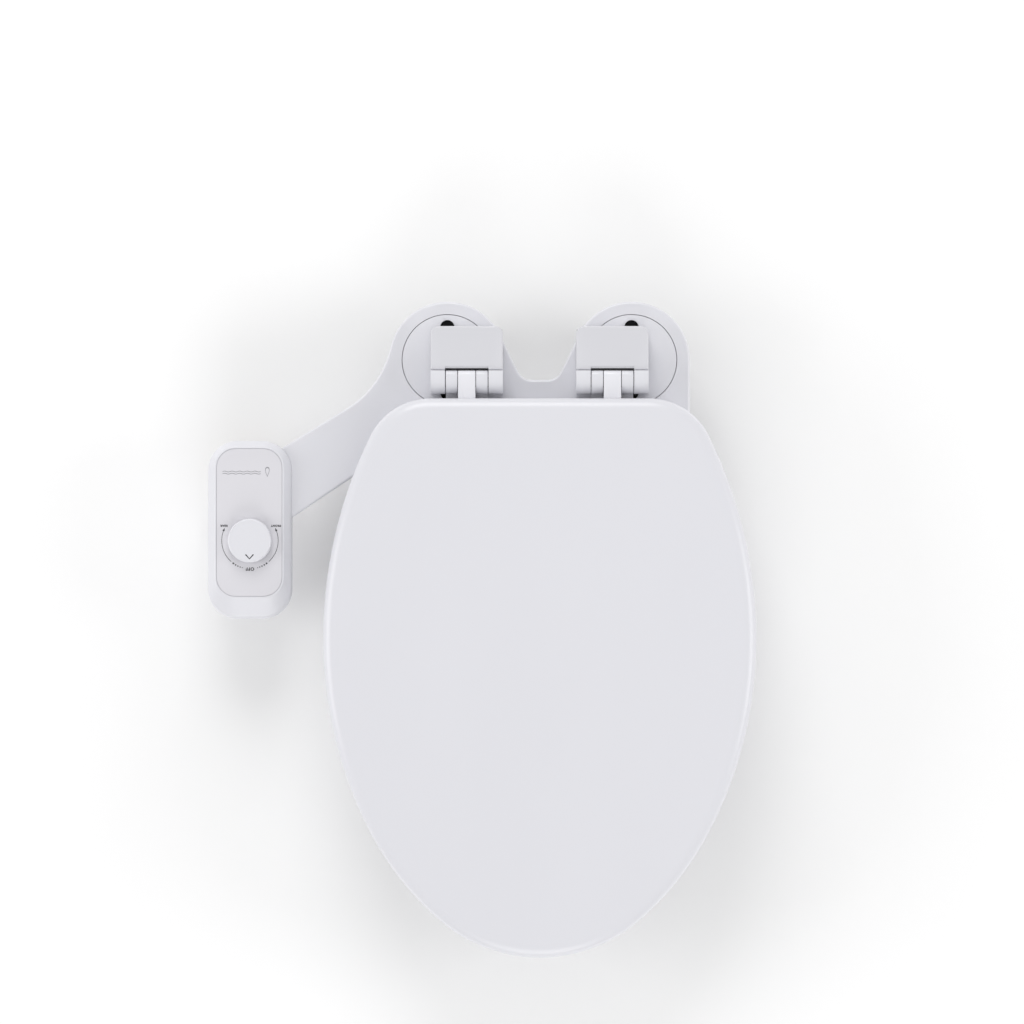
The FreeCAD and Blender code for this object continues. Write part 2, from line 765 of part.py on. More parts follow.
def hinge_base(name, side):
    """The foot on the deck, two knuckle towers in front and two lugs for the cap's pin behind."""
    bottom = mm.plate_height + mm.base_lift
    foot_top = bottom + mm.base_foot_height
    axis_y, axis_z = -mm.axis_setback, mm.axis_height
    tower_rear, cup_top = -mm.tower_rear, foot_top + mm.bolt_cup_height
    inner = mm.cap_wall + mm.hidden_part_clearance
    foot_x = on_side(side, mm.hinge_inner + inner, mm.hinge_outer - inner)
    foot = block(*foot_x, tower_rear - 0.4, mm.base_foot_rear, bottom, foot_top)
    full_x = on_side(side, mm.hinge_inner, mm.hinge_outer)
    base = foot.fuse(block(*full_x, axis_y - mm.tower_front, tower_rear, bottom, mm.base_web_top))
    for near, far in knuckles()["tower"]:
        span = on_side(side, near, far)
        tower = block(*span, axis_y, tower_rear, bottom, axis_z + mm.barrel_radius)
        tower = tower.fuse(block(*span, axis_y - mm.tower_front, axis_y, bottom, axis_z))
        tower = tower.fuse(bar(mm.barrel_radius, *span, axis_y, axis_z))
        tower = tower.cut(block(*span, tower_rear, 0, bottom, axis_z + mm.barrel_radius))
        base = base.fuse(tower.removeSplitter())
    for near, far in lug_spans():
        span = on_side(side, near, far)
        heel = mm.cap_heel_radius
        lug = block(*span, mm.lug_front, mm.cap_axis_y, mm.cap_axis_z - heel, mm.cap_axis_z + heel)
        base = base.fuse(lug.fuse(bar(heel, *span, mm.cap_axis_y, mm.cap_axis_z)))
    bolt_x = side * mm.bolt_spacing / 2
    base = base.fuse(rod(mm.bolt_cup_radius, bolt_x, 0, bottom, cup_top)).removeSplitter()
    base = base.cut(rod(mm.bolt_head_radius + 0.4, bolt_x, 0, foot_top, cup_top + 1))
    base = base.cut(rod(mm.bolt_neck_radius + 0.1, bolt_x, 0, 0, foot_top + 1))
    base = base.cut(bar(mm.hinge_pin_radius + 0.02, *full_x, axis_y, axis_z))
    base = base.cut(bar(mm.cap_pin_radius + 0.02, *full_x, mm.cap_axis_y, mm.cap_axis_z))
    shell(name, base)


def cap_outline(span, inset):
    """A cap from above: square in front, with round corners behind."""
    left, right = span[0] + inset, span[1] - inset
    front, rear, corner = -mm.cap_front, mm.cap_rear - inset, mm.cap_corner - inset
    return rounded_polygon([
        (right, rear, corner), (left, rear, corner),
        (left, front, mm.cap_front_corner), (right, front, mm.cap_front_corner),
    ])


def hinge_cap(name, side):
    """A cover that flips up and back about a pin at its heel, to uncover the bolt's head."""
    front, rear, top = -mm.cap_front, mm.cap_rear, mm.cap_top
    heel_y, heel_z, heel = mm.cap_axis_y, mm.cap_axis_z, mm.cap_heel_radius
    span = on_side(side, mm.hinge_inner, mm.hinge_outer)
    cap = prism(cap_outline(span, 0), heel_z - heel, top)
    cap = cap.makeFillet(mm.cap_edge_fillet, flat_edges_at(cap, top))
    # the heel is round about the pin, so that it turns without digging into the plate
    heel_corner = block(*span, heel_y, rear + 1, heel_z - heel - 1, heel_z)
    cap = cap.cut(heel_corner.cut(bar(heel, *span, heel_y, heel_z)))
    inside = prism(cap_outline(span, mm.cap_wall), 0, top - mm.cap_top_thickness)
    inside = inside.fuse(block(span[0] + mm.cap_wall, span[1] - mm.cap_wall, front - 1, front + 1,
                               0, top - mm.cap_top_thickness))
    lugs = lug_spans()
    gap = mm.lug_clearance
    heel_span = on_side(side, lugs[0][1] + gap, lugs[1][0] - gap)
    cap = cap.cut(inside.cut(bar(heel, *heel_span, heel_y, heel_z)))
    for near, far in lugs:
        cap = cap.cut(bar(heel + 0.4, *on_side(side, near - gap, far + gap), heel_y, heel_z))
    # a thin lip, a step below the top, lets the moving knuckles' heels swing past under it
    notch = on_side(side, *knuckles()["moving"])
    lip_top = top - mm.cap_step_drop
    cap = cap.cut(block(*notch, front - 1, -mm.cap_step_rear, lip_top, top + 1))
    cap = cap.cut(block(*notch, front - 1, -mm.cap_lip, 0, top + 1))
    cap = cap.cut(block(*notch, front - 1, -mm.cap_under_lip, 0, lip_top - mm.cap_lip_thickness))
    cap = cap.cut(bar(mm.cap_pin_radius + mm.running_fit, *span, heel_y, heel_z))
    shell(name, cap)


def hinge_pins():
    """Two thick pins on the seat's axis, and two thin ones for the caps."""
    cap_pins = []
    for name, side in SIDES.items():
        length = cell("hinge_outer") - cell("hinge_inner") - 1.2
        pin = new_body(f"{name}_hinge_pin")
        sketch = sketch_on(pin, "YZ_Plane")
        draw_circle(sketch, 0, 0, cell("hinge_pin_radius"))
        pad(pin, sketch, length, midplane=True)
        centre = (cell("hinge_outer") + cell("hinge_inner")) / 2 * side
        place(pin, centre, -cell("axis_setback"), cell("axis_height"))
        keep(pin, f"{name}_hinge_pin")
        thin = new_body(f"CapPin_{name}")
        sketch = sketch_on(thin, "YZ_Plane")
        draw_circle(sketch, 0, 0, cell("cap_pin_radius"))
        pad(thin, sketch, length, midplane=True)
        cap_pins.append(place(thin, centre, cell("cap_axis_y"), cell("cap_axis_z")))
    group("hinge_cap_pins", cap_pins)


# ---- seat ring and lid ----

RING_BUMPERS = [(-138, -175), (138, -175), (-96, -425), (96, -425)]
LID_BUMPERS = [(-126, -120), (126, -120), (-84, -445), (84, -445)]
LID_SCREW_SETBACKS = (56, 70)


def seat_ring():
    bottom, top = mm.ring_bottom, mm.ring_top
    axis_y, axis_z = -mm.axis_setback, mm.axis_height
    ring = prism(lid_outline(mm.ring_inset), bottom, top)
    ring = ring.makeFillet(mm.ring_edge_fillet, flat_edges_at(ring, top))
    ring = ring.cut(prism(opening_outline(), bottom - 1, top + 1))
    inner_top = [edge for edge in flat_edges_at(ring, top) if edge.BoundBox.YMin > -448.5]
    ring = ring.makeFillet(mm.ring_edge_fillet, inner_top)
    channel = prism(lid_outline(mm.ring_inset + mm.ring_wall), bottom - 1, top - mm.ring_wall - 1.5)
    channel = channel.cut(prism(opening_outline(-mm.ring_wall), bottom - 2, top))
    for x, y in RING_BUMPERS:
        channel = channel.cut(rod(mm.bumper_radius + 1, x, y, bottom - 2, top))
    for side in SIDES.values():
        pad_span = on_side(side, mm.hinge_inner, mm.hinge_outer)
        channel = channel.cut(block(*pad_span, -mm.rear_pad_front, -mm.rear_pad_rear, bottom - 2, top))
    ring = ring.cut(channel)
    for side in SIDES.values():
        for near, far in knuckles()["ring"]:
            span = on_side(side, near, far)
            root_y = -mm.lid_rear - mm.strap_root
            strap = block(*span, root_y, axis_y, mm.strap_bottom, mm.strap_top)
            ring = ring.fuse(strap.fuse(moving_knuckle(span)))
            ring = ring.cut(bar(mm.hinge_pin_radius + mm.running_fit, *span, axis_y, axis_z))
    for x, y in RING_BUMPERS:
        ring = ring.cut(rod(mm.bumper_stem_radius, x, y, bottom - 1, bottom + 6))
    shell("seat_ring", ring.removeSplitter())


def seat_lid():
    bottom, top, wall = mm.lid_bottom, mm.lid_top, mm.lid_wall
    lid = prism(lid_outline(), bottom, top)
    lid = lid.makeFillet(mm.lid_edge_fillet, flat_edges_at(lid, top))
    hollow = prism(lid_outline(wall), bottom - 1, top - wall)
    hollow = hollow.makeFillet(mm.lid_edge_fillet - wall, flat_edges_at(hollow, top - wall))
    arm_top = mm.axis_height + mm.barrel_radius
    for side in SIDES.values():
        near, far = knuckles()["lid"][0]
        hollow = hollow.cut(block(*on_side(side, near - 5, far + 5), -mm.lid_arm_reach - 4,
                                  -mm.lid_rear, arm_top + 0.2, top))
    for x, y in LID_BUMPERS:
        hollow = hollow.cut(rod(mm.bumper_radius, x, y, bottom + 1.5, top))
    lid = lid.cut(hollow)
    for side in SIDES.values():
        near, far = knuckles()["lid"][0]
        door = block(*on_side(side, near - 0.2, far + 0.2), -mm.lid_rear - 6, -mm.lid_rear + 1,
                     bottom - 1, arm_top + 0.2)
        lid = lid.cut(door)
        for setback in LID_SCREW_SETBACKS:
            centre = side * (near + far) / 2
            lid = lid.cut(rod(mm.lid_screw_hole_radius, centre, -setback, bottom, top - wall - 1))
    for x, y in LID_BUMPERS:
        lid = lid.cut(rod(mm.lid_stem_radius, x, y, bottom, bottom + 7))
    shell("seat_lid", lid)


def lid_arm(name, side):
    """The lid's knuckle with a flat tail that is screwed up into the lid."""
    axis_y, axis_z = -mm.axis_setback, mm.axis_height
    near, far = knuckles()["lid"][0]
    span = on_side(side, near, far)
    top = axis_z + mm.barrel_radius
    tail = block(*span, -mm.lid_arm_reach, axis_y, top - mm.lid_arm_thickness, top)
    upright = [e for e in tail.Edges if abs(e.BoundBox.ZLength - mm.lid_arm_thickness) < 1e-6
               and e.BoundBox.YMax < -mm.lid_arm_reach + 1]
    arm = tail.makeFillet(mm.lid_arm_corner, upright).fuse(moving_knuckle(span))
    arm = arm.cut(bar(mm.hinge_pin_radius + mm.running_fit, *span, axis_y, axis_z))
    for setback in LID_SCREW_SETBACKS:
        x = (span[0] + span[1]) / 2
        arm = arm.cut(rod(mm.lid_arm_hole_radius, x, -setback, 0, top + 1))
        arm = arm.cut(rod(mm.lid_arm_head_radius, x, -setback, 0,
                          top - mm.lid_arm_thickness + mm.lid_arm_head_step))
    shell(name, arm.removeSplitter())


def lid_arm_screws():
    head = cell("axis_height") + cell("barrel_radius") - cell("lid_arm_thickness")
    head += cell("lid_arm_head_step")
    centre = (cell("hinge_outer") + cell("hinge_inner")) / 2
    members = []
    for name, side in SIDES.items():
        for i, setback in enumerate(LID_SCREW_SETBACKS):
            screw = turned(f"LidArmScrew_{name}{i}", [
                (0, head - 1.4), (2.4, head - 1.4), (3.0, head - 1), (3.0, head), (1.6, head),
                (1.6, head + 8), (0, head + 9),
            ])
            members.append(place(screw, centre * side, -setback))
    group("lid_arm_screws", members)


def bumpers():
    ring_bottom, lid_pad = cell("ring_bottom"), cell("ring_top") + 0.3
    radius = cell("bumper_radius")
    ring_members, lid_members = [], []
    for i, (x, y) in enumerate(RING_BUMPERS):
        foot = turned(f"RingBumper{i}", [
            (0, 0), (radius - 2, 0), (radius - 0.6, 1.4), (radius, ring_bottom - 0.05),
            (3.0, ring_bottom - 0.05), (3.0, ring_bottom + 5.5), (0, ring_bottom + 5.5),
        ])
        ring_members.append(place(foot, x, y))
    for i, (x, y) in enumerate(LID_BUMPERS):
        under = cell("lid_bottom") + 1.45
        foot = turned(f"LidBumper{i}", [
            (0, lid_pad), (radius - 2.5, lid_pad), (radius - 1.5, lid_pad + 1), (radius - 1.5, under),
            (2.5, under), (2.5, under + 5), (0, under + 5),
        ])
        lid_members.append(place(foot, x, y))
    group("ring_bumpers", ring_members)
    group("lid_bumpers", lid_members)


# ---- control box ----

BOX_BOSSES = [(-22, 61), (8, 66), (-22, -61), (22, -61)]


def box_rectangle(inset=0.0):
    return rounded_rectangle(-mm.box_x, -mm.box_y, mm.box_width - 2 * inset,
                             mm.box_length - 2 * inset, mm.box_corner - inset)


def face_rectangle(grow=0.0):
    return rounded_rectangle(-mm.face_x, -mm.face_y, mm.face_width + 2 * grow,
                             mm.face_length + 2 * grow, mm.face_corner + grow)


def lifted(wire, height):
    copy = wire.copy()
    copy.translate(Vector(0, 0, height))
    return copy


def control_box():
    split, shoulder, face = -mm.box_split, mm.box_shoulder, mm.box_face
    wall = mm.box_wall
    side_walls = prism(box_rectangle(), split, shoulder)
    bezel = Part.makeLoft([lifted(box_rectangle(), shoulder), lifted(face_rectangle(mm.box_rim), face)],
                          True)
    upper = side_walls.fuse(bezel).removeSplitter()
    upper = upper.makeFillet(mm.box_shoulder_fillet, flat_edges_at(upper, shoulder))
    upper = upper.makeFillet(mm.box_rim_fillet, flat_edges_at(upper, face))
    upper = upper.cut(prism(face_rectangle(mm.face_groove), face - mm.face_recess, face + 1))
    hollow = prism(box_rectangle(wall), split - 1, shoulder - 1.5)
    hollow = hollow.fuse(prism(face_rectangle(-3), shoulder - 2, face - mm.face_recess - 2))
    for dx, dy in BOX_BOSSES:
        hollow = hollow.cut(rod(mm.boss_radius, -mm.box_x + dx, -mm.box_y + dy, split - 2, face))
    upper = upper.cut(hollow)
    upper = upper.cut(rod(mm.stem_opening, -mm.dial_x, -mm.dial_y, split, face + 1))
    gap = mm.arm_door_gap
    arm_door = prism(plate_outline().makeOffset2D(gap), -gap, mm.plate_height + gap)
    upper = upper.cut(arm_door)

    lower = Part.makeLoft([lifted(box_rectangle(mm.box_taper), -mm.box_bottom),
                           lifted(box_rectangle(), split)], True)
    lower = lower.makeFillet(mm.box_foot_fillet, flat_edges_at(lower, -mm.box_bottom))
    basin = Part.makeLoft([lifted(box_rectangle(mm.box_taper + wall), -mm.box_bottom + wall),
                           lifted(box_rectangle(wall), split + 0.001)], True)
    for dx, dy in BOX_BOSSES:
        basin = basin.cut(rod(mm.foot_boss_radius, -mm.box_x + dx, -mm.box_y + dy, -40, split - 0.1))
    lower = lower.cut(basin)
    for dx, dy in BOX_BOSSES:
        x, y = -mm.box_x + dx, -mm.box_y + dy
        upper = upper.cut(rod(mm.boss_hole_radius, x, y, split - 1, 9))
        lower = lower.cut(rod(mm.foot_hole_radius, x, y, -40, split + 1))
        lower = lower.cut(rod(mm.foot_sink_radius, x, y, -40, -mm.foot_sink_top))
    lower = lower.cut(rod(mm.inlet_spigot_radius + 0.3, -mm.box_x, -mm.inlet_y, -40, -20))
    shell("control_top_shell", upper)
    shell("control_bottom_shell", lower)
    seat, top = face - mm.face_recess + 0.05, face - mm.face_recess + mm.face_thickness
    plate = prism(face_rectangle(), seat, top)
    plate = plate.makeFillet(0.35, flat_edges_at(plate, top))
    shell("control_faceplate", plate.cut(rod(mm.stem_opening, -mm.dial_x, -mm.dial_y, 0, face + 1)))


def box_screws():
    members = []
    for i, (dx, dy) in enumerate(BOX_BOSSES):
        screw = turned(f"BoxScrew{i}", [
            (0, -19.2), (2.4, -19.2), (3.0, -18.6), (3.0, -17), (1.3, -17), (1.3, 6), (0, 7.2),
        ])
        members.append(place(screw, -cell("box_x") + dx, -cell("box_y") + dy))
    group("control_screws", members)


# ---- dial and valve ----

def at_dial(body, label):
    place(body, -cell("dial_x"), -cell("dial_y"))
    return keep(body, label)


def dial_and_valve():
    low, high = cell("knob_bottom"), cell("knob_top")
    tip, radius = cell("stem_tip_radius"), cell("knob_radius")
    at_dial(turned("control_knob", [
        (tip + 0.02, low), (6, low), (6, high - 3), (radius - 2, high - 3), (radius - 2, low),
        (radius - 0.4, low), (radius, low + 0.4), (radius - 0.3, high - 0.8), (radius - 1.1, high),
        (0, high), (0, high - 2), (tip + 0.02, high - 2),
    ]), "control_knob")
    stack = -cell("disc_stack_bottom")
    rotor_bottom = stack + cell("ceramic_thickness") + 0.05
    driver = rotor_bottom + cell("ceramic_thickness") + 0.05
    stem = cell("stem_radius")
    at_dial(turned("valve_stator_disc", [
        (2, stack + 0.05), (9.8, stack + 0.05), (9.8, stack + cell("ceramic_thickness")),
        (2, stack + cell("ceramic_thickness")),
    ]), "valve_stator_disc")
    at_dial(turned("valve_rotor_disc", [
        (0, rotor_bottom), (9.5, rotor_bottom), (9.5, driver - 0.05), (0, driver - 0.05),
    ]), "valve_rotor_disc")
    at_dial(turned("valve_stem", [
        (0, driver), (8, driver), (8, driver + 2.6), (stem, driver + 2.6), (stem, 6), (3.1, 6),
        (3.1, 7.2), (stem, 7.2), (stem, 9), (3.1, 9), (3.1, 10.2), (stem, 10.2),
        (stem, low - 1), (tip, low - 1), (tip, high - 2.2), (0, high - 2.2),
    ]), "valve_stem")
    rings = []
    for i, height in enumerate((6.6, 9.6)):
        ring = doc.addObject("Part::Torus", f"StemRing{i}")
        ring.Radius1 = 3.58
        ring.Radius2 = 0.46
        rings.append(place(ring, -cell("dial_x"), -cell("dial_y"), height))
    group("stem_o_rings", rings)
    cavity, top = cell("cavity_radius"), cell("valve_top")
    at_dial(turned("valve_bonnet", [
        (stem + cell("running_fit"), driver + 2.9), (cavity - 0.05, driver + 2.9),
        (cavity - 0.05, top + 0.05), (cell("valve_radius") - 1, top + 0.05),
        (cell("valve_radius") - 1, top + 2), (7.5, top + 2), (7.5, top + 4.5),
        (stem + cell("running_fit"), top + 4.5),
    ]), "valve_bonnet")


def valve_body():
    """One moulding: the cavity for the discs, a duct to the inlet and two hose spigots."""
    x, y = -mm.dial_x, -mm.dial_y
    inlet_x, inlet_y = -mm.box_x, -mm.inlet_y
    bottom, top, duct_z = -mm.valve_bottom, mm.valve_top, -mm.duct_drop
    back = Vector(0, 1, 0)

    def duct(radius):
        return Part.makeCylinder(radius, inlet_y - y, Vector(inlet_x, y, duct_z), back)

    body = rod(mm.valve_radius, x, y, bottom, top)
    body = body.fuse([duct(mm.duct_radius),
                      rod(mm.inlet_cup_radius, inlet_x, inlet_y, bottom, -mm.inlet_cup_top)])
    for hose in HOSES.values():
        start = Vector(hose[0][0], y, hose[0][2])
        sleeve = Part.makeCylinder(mm.spigot_sleeve_radius, mm.spigot_sleeve_length, start, back)
        spigot = Part.makeCylinder(mm.hose_bore_radius - 0.1, mm.spigot_length, start, back)
        body = body.fuse([sleeve, spigot])
    body = body.removeSplitter()
    body = body.cut(rod(mm.cavity_radius, x, y, -mm.disc_stack_bottom, top + 1))
    body = body.cut(duct(mm.duct_bore_radius))
    body = body.cut(rod(mm.port_radius, x, y, duct_z, -mm.disc_stack_bottom + 1))
    socket = rod(mm.inlet_spigot_radius + 0.05, inlet_x, inlet_y, bottom - 1, -mm.inlet_socket_top)
    shell("valve_body", body.cut(socket))


def inlet():
    shell_bottom = -cell("box_bottom")
    flange = shell_bottom - cell("inlet_flange_height")
    mouth = flange - cell("inlet_thread_length")
    bore, spigot = cell("inlet_bore_radius"), cell("inlet_spigot_radius")
    connector = turned("inlet_connector", [
        (bore, mouth), (cell("inlet_radius"), mouth), (cell("inlet_radius"), flange),
        (cell("inlet_flange_radius"), flange), (cell("inlet_flange_radius"), shell_bottom - 0.1),
        (spigot, shell_bottom - 0.1), (spigot, -14.2), (bore, -14.2),
    ])
    keep(place(connector, -cell("box_x"), -cell("inlet_y")), "inlet_connector")
    check = turned("check_valve", [
        (0, flange + 2), (1.5, flange + 2), (bore - 0.1, flange + 4), (bore - 0.1, flange + 11),
        (2.5, flange + 11), (2.5, flange + 13), (0, flange + 13),
    ])
    keep(place(check, -cell("box_x"), -cell("inlet_y")), "check_valve")
    strainer = turned("inlet_filter", [
        (0, mouth + 2), (bore - 0.1, mouth + 2), (bore - 0.1, mouth + 4), (0, mouth + 4),
    ])
    keep(place(strainer, -cell("box_x"), -cell("inlet_y")), "inlet_filter")


# ---- hoses, held all the way inside the box, the arm and the plate ----

HOSES = {
    "rear_wash_hose": [
        (-247.5, -145.9, -9), (-247.5, -134, -9), (-244, -121, -2.5), (-233, -111, 4.3), (-215, -104, 4.3),
        (-180, -88, 4.3), (-145, -70, 4.3), (-112, -56, 4.3), (-76, -53.8, 4.3), (-20.2, -53.8, 4.3),
    ],
    "front_wash_hose": [
        (-238.9, -145.9, -9), (-238.9, -134, -9), (-236, -123, -2.5), (-227, -117, 4.3), (-211, -110.5, 4.3),
        (-177, -95, 4.3), (-142, -77, 4.3), (-109, -62.5, 4.3), (-74, -60.4, 4.3), (-20.2, -60.4, 4.3),
    ],
}


def hose_path(points):
    """Straight runs joined by tangent arcs, each arc as large as its two runs allow."""
    points = [Vector(*p) for p in points]
    edges, start = [], points[0]
    for before, here, after in zip(points, points[1:], points[2:]):
        back, ahead = before - here, after - here
        shorter = min(back.Length, ahead.Length)
        back.normalize()
        ahead.normalize()
        turn = math.pi - back.getAngle(ahead)
        reach = 0.45 * shorter
        radius = reach / math.tan(turn / 2)
        middle = back + ahead
        middle.normalize()
        crown = here + middle * (radius / math.cos(turn / 2) - radius)
        edges.append(Part.LineSegment(start, here + back * reach).toShape())
        edges.append(Part.Arc(here + back * reach, crown, here + ahead * reach).toShape())
        start = here + ahead * reach
        print(f"    bend radius {radius:.0f} mm")
    edges.append(Part.LineSegment(start, points[-1]).toShape())
    return Part.Wire(edges)


def hoses():
    for name, points in HOSES.items():
        path = hose_path(points)
        heading = path.Edges[0].tangentAt(path.Edges[0].FirstParameter)
        rings = [Part.Wire(Part.makeCircle(r, Vector(*points[0]), heading))
                 for r in (mm.hose_radius, mm.hose_bore_radius)]
        outer, bore = (path.makePipeShell([ring], True, False) for ring in rings)
        tube = outer.cut(bore)
        expected = math.pi * (mm.hose_radius ** 2 - mm.hose_bore_radius ** 2) * path.Length
        print(f"{name}: length {path.Length:.1f} mm, volume ratio {tube.Volume / expected:.4f}")
        shell(name, tube)


# ---- nozzles: everything here is made along its own +Z, then tilted down and forwards ----

TILT = Rotation(Vector(1, 0, 0), 90 + mm.nozzle_tilt)
NOZZLE_FRAME = Placement(Vector(0, -mm.nozzle_base_y, -mm.nozzle_base_z), TILT)


def along_nozzle(feature, x=0):
    return place(feature, x, -cell("nozzle_base_y"), -cell("nozzle_base_z"), TILT)


NOZZLES = {"rear": -1, "front": 1}
GUARD_HINGE = (9.6, 63.0)


def pill(half_height, start, end):
    """A block with round sides about the two nozzles."""
    reach = mm.nozzle_spacing / 2
    solid = block(-reach, reach, -half_height, half_height, start, end)
    return solid.fuse([rod(half_height, -reach, 0, start, end), rod(half_height, reach, 0, start, end)])


def nozzle_housing():
    half_height = mm.nozzle_bore_radius + mm.housing_wall
    length = mm.housing_length
    housing = pill(half_height, 0, length).removeSplitter()
    for side in NOZZLES.values():
        x = side * mm.nozzle_spacing / 2
        housing = housing.cut(rod(mm.nozzle_bore_radius, x, 0, -1, length - 4))
        housing = housing.cut(rod(mm.nozzle_guide_radius, x, 0, 0, length + 1))
    hinge_y, hinge_u = GUARD_HINGE
    for side in NOZZLES.values():
        near, far = on_side(side, mm.guard_lug_inner, mm.guard_lug_outer)
        lug = block(near, far, half_height - 3, hinge_y + 1.6, length - 14, length)
        lug = lug.fuse(block(near, far, hinge_y - 2.0, hinge_y + 1.6, length - 2, hinge_u))
        lug = lug.fuse(bar(mm.guard_barrel_radius, near, far, hinge_y, hinge_u))
        housing = housing.fuse(lug)
    for side in NOZZLES.values():
        housing = housing.cut(rod(mm.nozzle_bore_radius, side * mm.nozzle_spacing / 2, 0, -1, length - 4))
    housing = housing.cut(bar(mm.guard_pin_radius + 0.02, -20, 20, hinge_y, hinge_u))
    shell("nozzle_housing", housing.removeSplitter(), NOZZLE_FRAME)


def nozzle_manifold():
    """Closes the housing's rear, and turns the two hoses' water into its two bores."""
    half_height = mm.nozzle_bore_radius + mm.housing_wall
    back = pill(half_height, -3, -0.05).removeSplitter()
    back.Placement = NOZZLE_FRAME
    manifold = block(-18, 18, -69, -51.4, 1.8, 6.8).fuse(back)
    for hose in HOSES.values():
        y = hose[-1][1]
        manifold = manifold.fuse(bar(mm.hose_bore_radius - 0.1, -27, -18, y, mm.hose_height))
    manifold = manifold.cut(bar(0.8, -28, 10, -60.4, mm.hose_height))
    shell("nozzle_manifold", manifold.removeSplitter())


def nozzle(name, side):
    """A thin tube with a collar that the water pushes on, closed and rounded at its tip."""
    radius, bore = cell("nozzle_radius"), cell("nozzle_bore_radius")
    tip = cell("housing_length") + 2
    body = turned(f"{name}_nozzle", [
        (1.6, 3), (3.2, 3), (3.2, 5), (bore - 0.3, 5), (bore - 0.3, 8), (radius, 8),
        (radius, tip - 1.4), (radius - 1.4, tip), (0, tip), (0, tip - 4), (1.6, tip - 4),
    ])
    spray = sketch_on(body, "XZ_Plane")
    for i in range(3):
        draw_circle(spray, 0, tip - 8 + 1.5 * i, 0.4)
    pocket(body, spray, radius + 1, reverse=False)
    along_nozzle(body, cell("nozzle_spacing") / 2 * side)
    keep(body, f"{name}_nozzle")
    seal = turned(f"{name}_nozzle_seal", [
        (3.25, 3.05), (bore - 0.05, 2.6), (bore - 0.05, 3.4), (bore - 0.6, 4.9), (3.25, 4.9),
    ])
    along_nozzle(seal, cell("nozzle_spacing") / 2 * side)
    keep(seal, f"{name}_nozzle_seal")
    start, end = 8.1, mm.housing_length - 4.1
    wire = mm.spring_wire_radius
    coil_radius = (mm.nozzle_radius + mm.nozzle_bore_radius) / 2
    pitch = (end - start - 2 * wire) / mm.spring_turns
    helix = Part.makeHelix(pitch, end - start - 2 * wire, coil_radius)
    section = Part.Wire(Part.makeCircle(wire, Vector(coil_radius, 0, 0), Vector(0, 1, 0)))
    coil = Part.Wire(helix).makePipeShell([section], True, True)
    seat = Placement(Vector(side * mm.nozzle_spacing / 2, 0, start + wire), Rotation())
    shell(f"{name}_nozzle_spring", coil, NOZZLE_FRAME * seat)


def nozzle_guard():
    """A flap that hangs in front of the nozzles, with a slot for each, and lifts for cleaning."""
    hinge_y, hinge_u = GUARD_HINGE
    half, neck, slot = mm.guard_half_width, mm.guard_neck_half, mm.guard_slot_radius
    low, high = hinge_u - mm.guard_thickness / 2, hinge_u + mm.guard_thickness / 2
    flap = block(-half, half, -mm.guard_drop, mm.guard_rise, low, high)
    flap = flap.fuse(block(-neck, neck, mm.guard_rise - 1, hinge_y, low, high))
    flap = flap.fuse(bar(mm.guard_barrel_radius, -neck, neck, hinge_y, hinge_u))
    for side in NOZZLES.values():
        x = side * mm.nozzle_spacing / 2
        flap = flap.cut(rod(slot, x, 0, low - 1, high + 1))
        flap = flap.cut(block(x - slot, x + slot, -mm.guard_drop - 1, 0, low - 1, high + 1))
    flap = flap.cut(bar(mm.guard_pin_radius + mm.running_fit, -neck - 1, neck + 1, hinge_y, hinge_u))
    shell("nozzle_guard", flap.removeSplitter(), NOZZLE_FRAME)
    pin = bar(mm.guard_pin_radius, -mm.guard_pin_half, mm.guard_pin_half, hinge_y, hinge_u)
    shell("guard_pin", pin, NOZZLE_FRAME)


def build():
    plate_covers()
    plate_screws()
    disc_gaskets()
    fixings()
    for name, side in SIDES.items():
        mounting_disc(f"{name}_mounting_disc", side)
        hinge_base(f"{name}_hinge_base", side)
        hinge_cap(f"{name}_hinge_cap", side)
        lid_arm(f"{name}_lid_arm", side)
    hinge_pins()
    seat_ring()
    seat_lid()
    lid_arm_screws()
    bumpers()
    control_box()
    box_screws()
    dial_and_valve()
    valve_body()
    inlet()
    hoses()
    nozzle_housing()
    nozzle_manifold()
    for name, side in NOZZLES.items():
        nozzle(name, side)
    nozzle_guard()


def check_and_write():
    doc.recompute()
    failed = [o.Name for o in doc.Objects if "Invalid" in o.State or "Error" in o.State]
    for feature in parts:
        shape = feature.Shape
        if shape.isNull() or not shape.isValid() or not shape.Solids:
            failed.append(feature.Label)
    if failed:
        raise RuntimeError(f"not valid: {failed}")
    os.makedirs("parts", exist_ok=True)
    for feature in parts:
        feature.Shape.exportStep(f"parts/{feature.Label}.step")
        print(f"{feature.Label}: {len(feature.Shape.Solids)} solid(s)")


build()
check_and_write()
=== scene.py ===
import json
import math

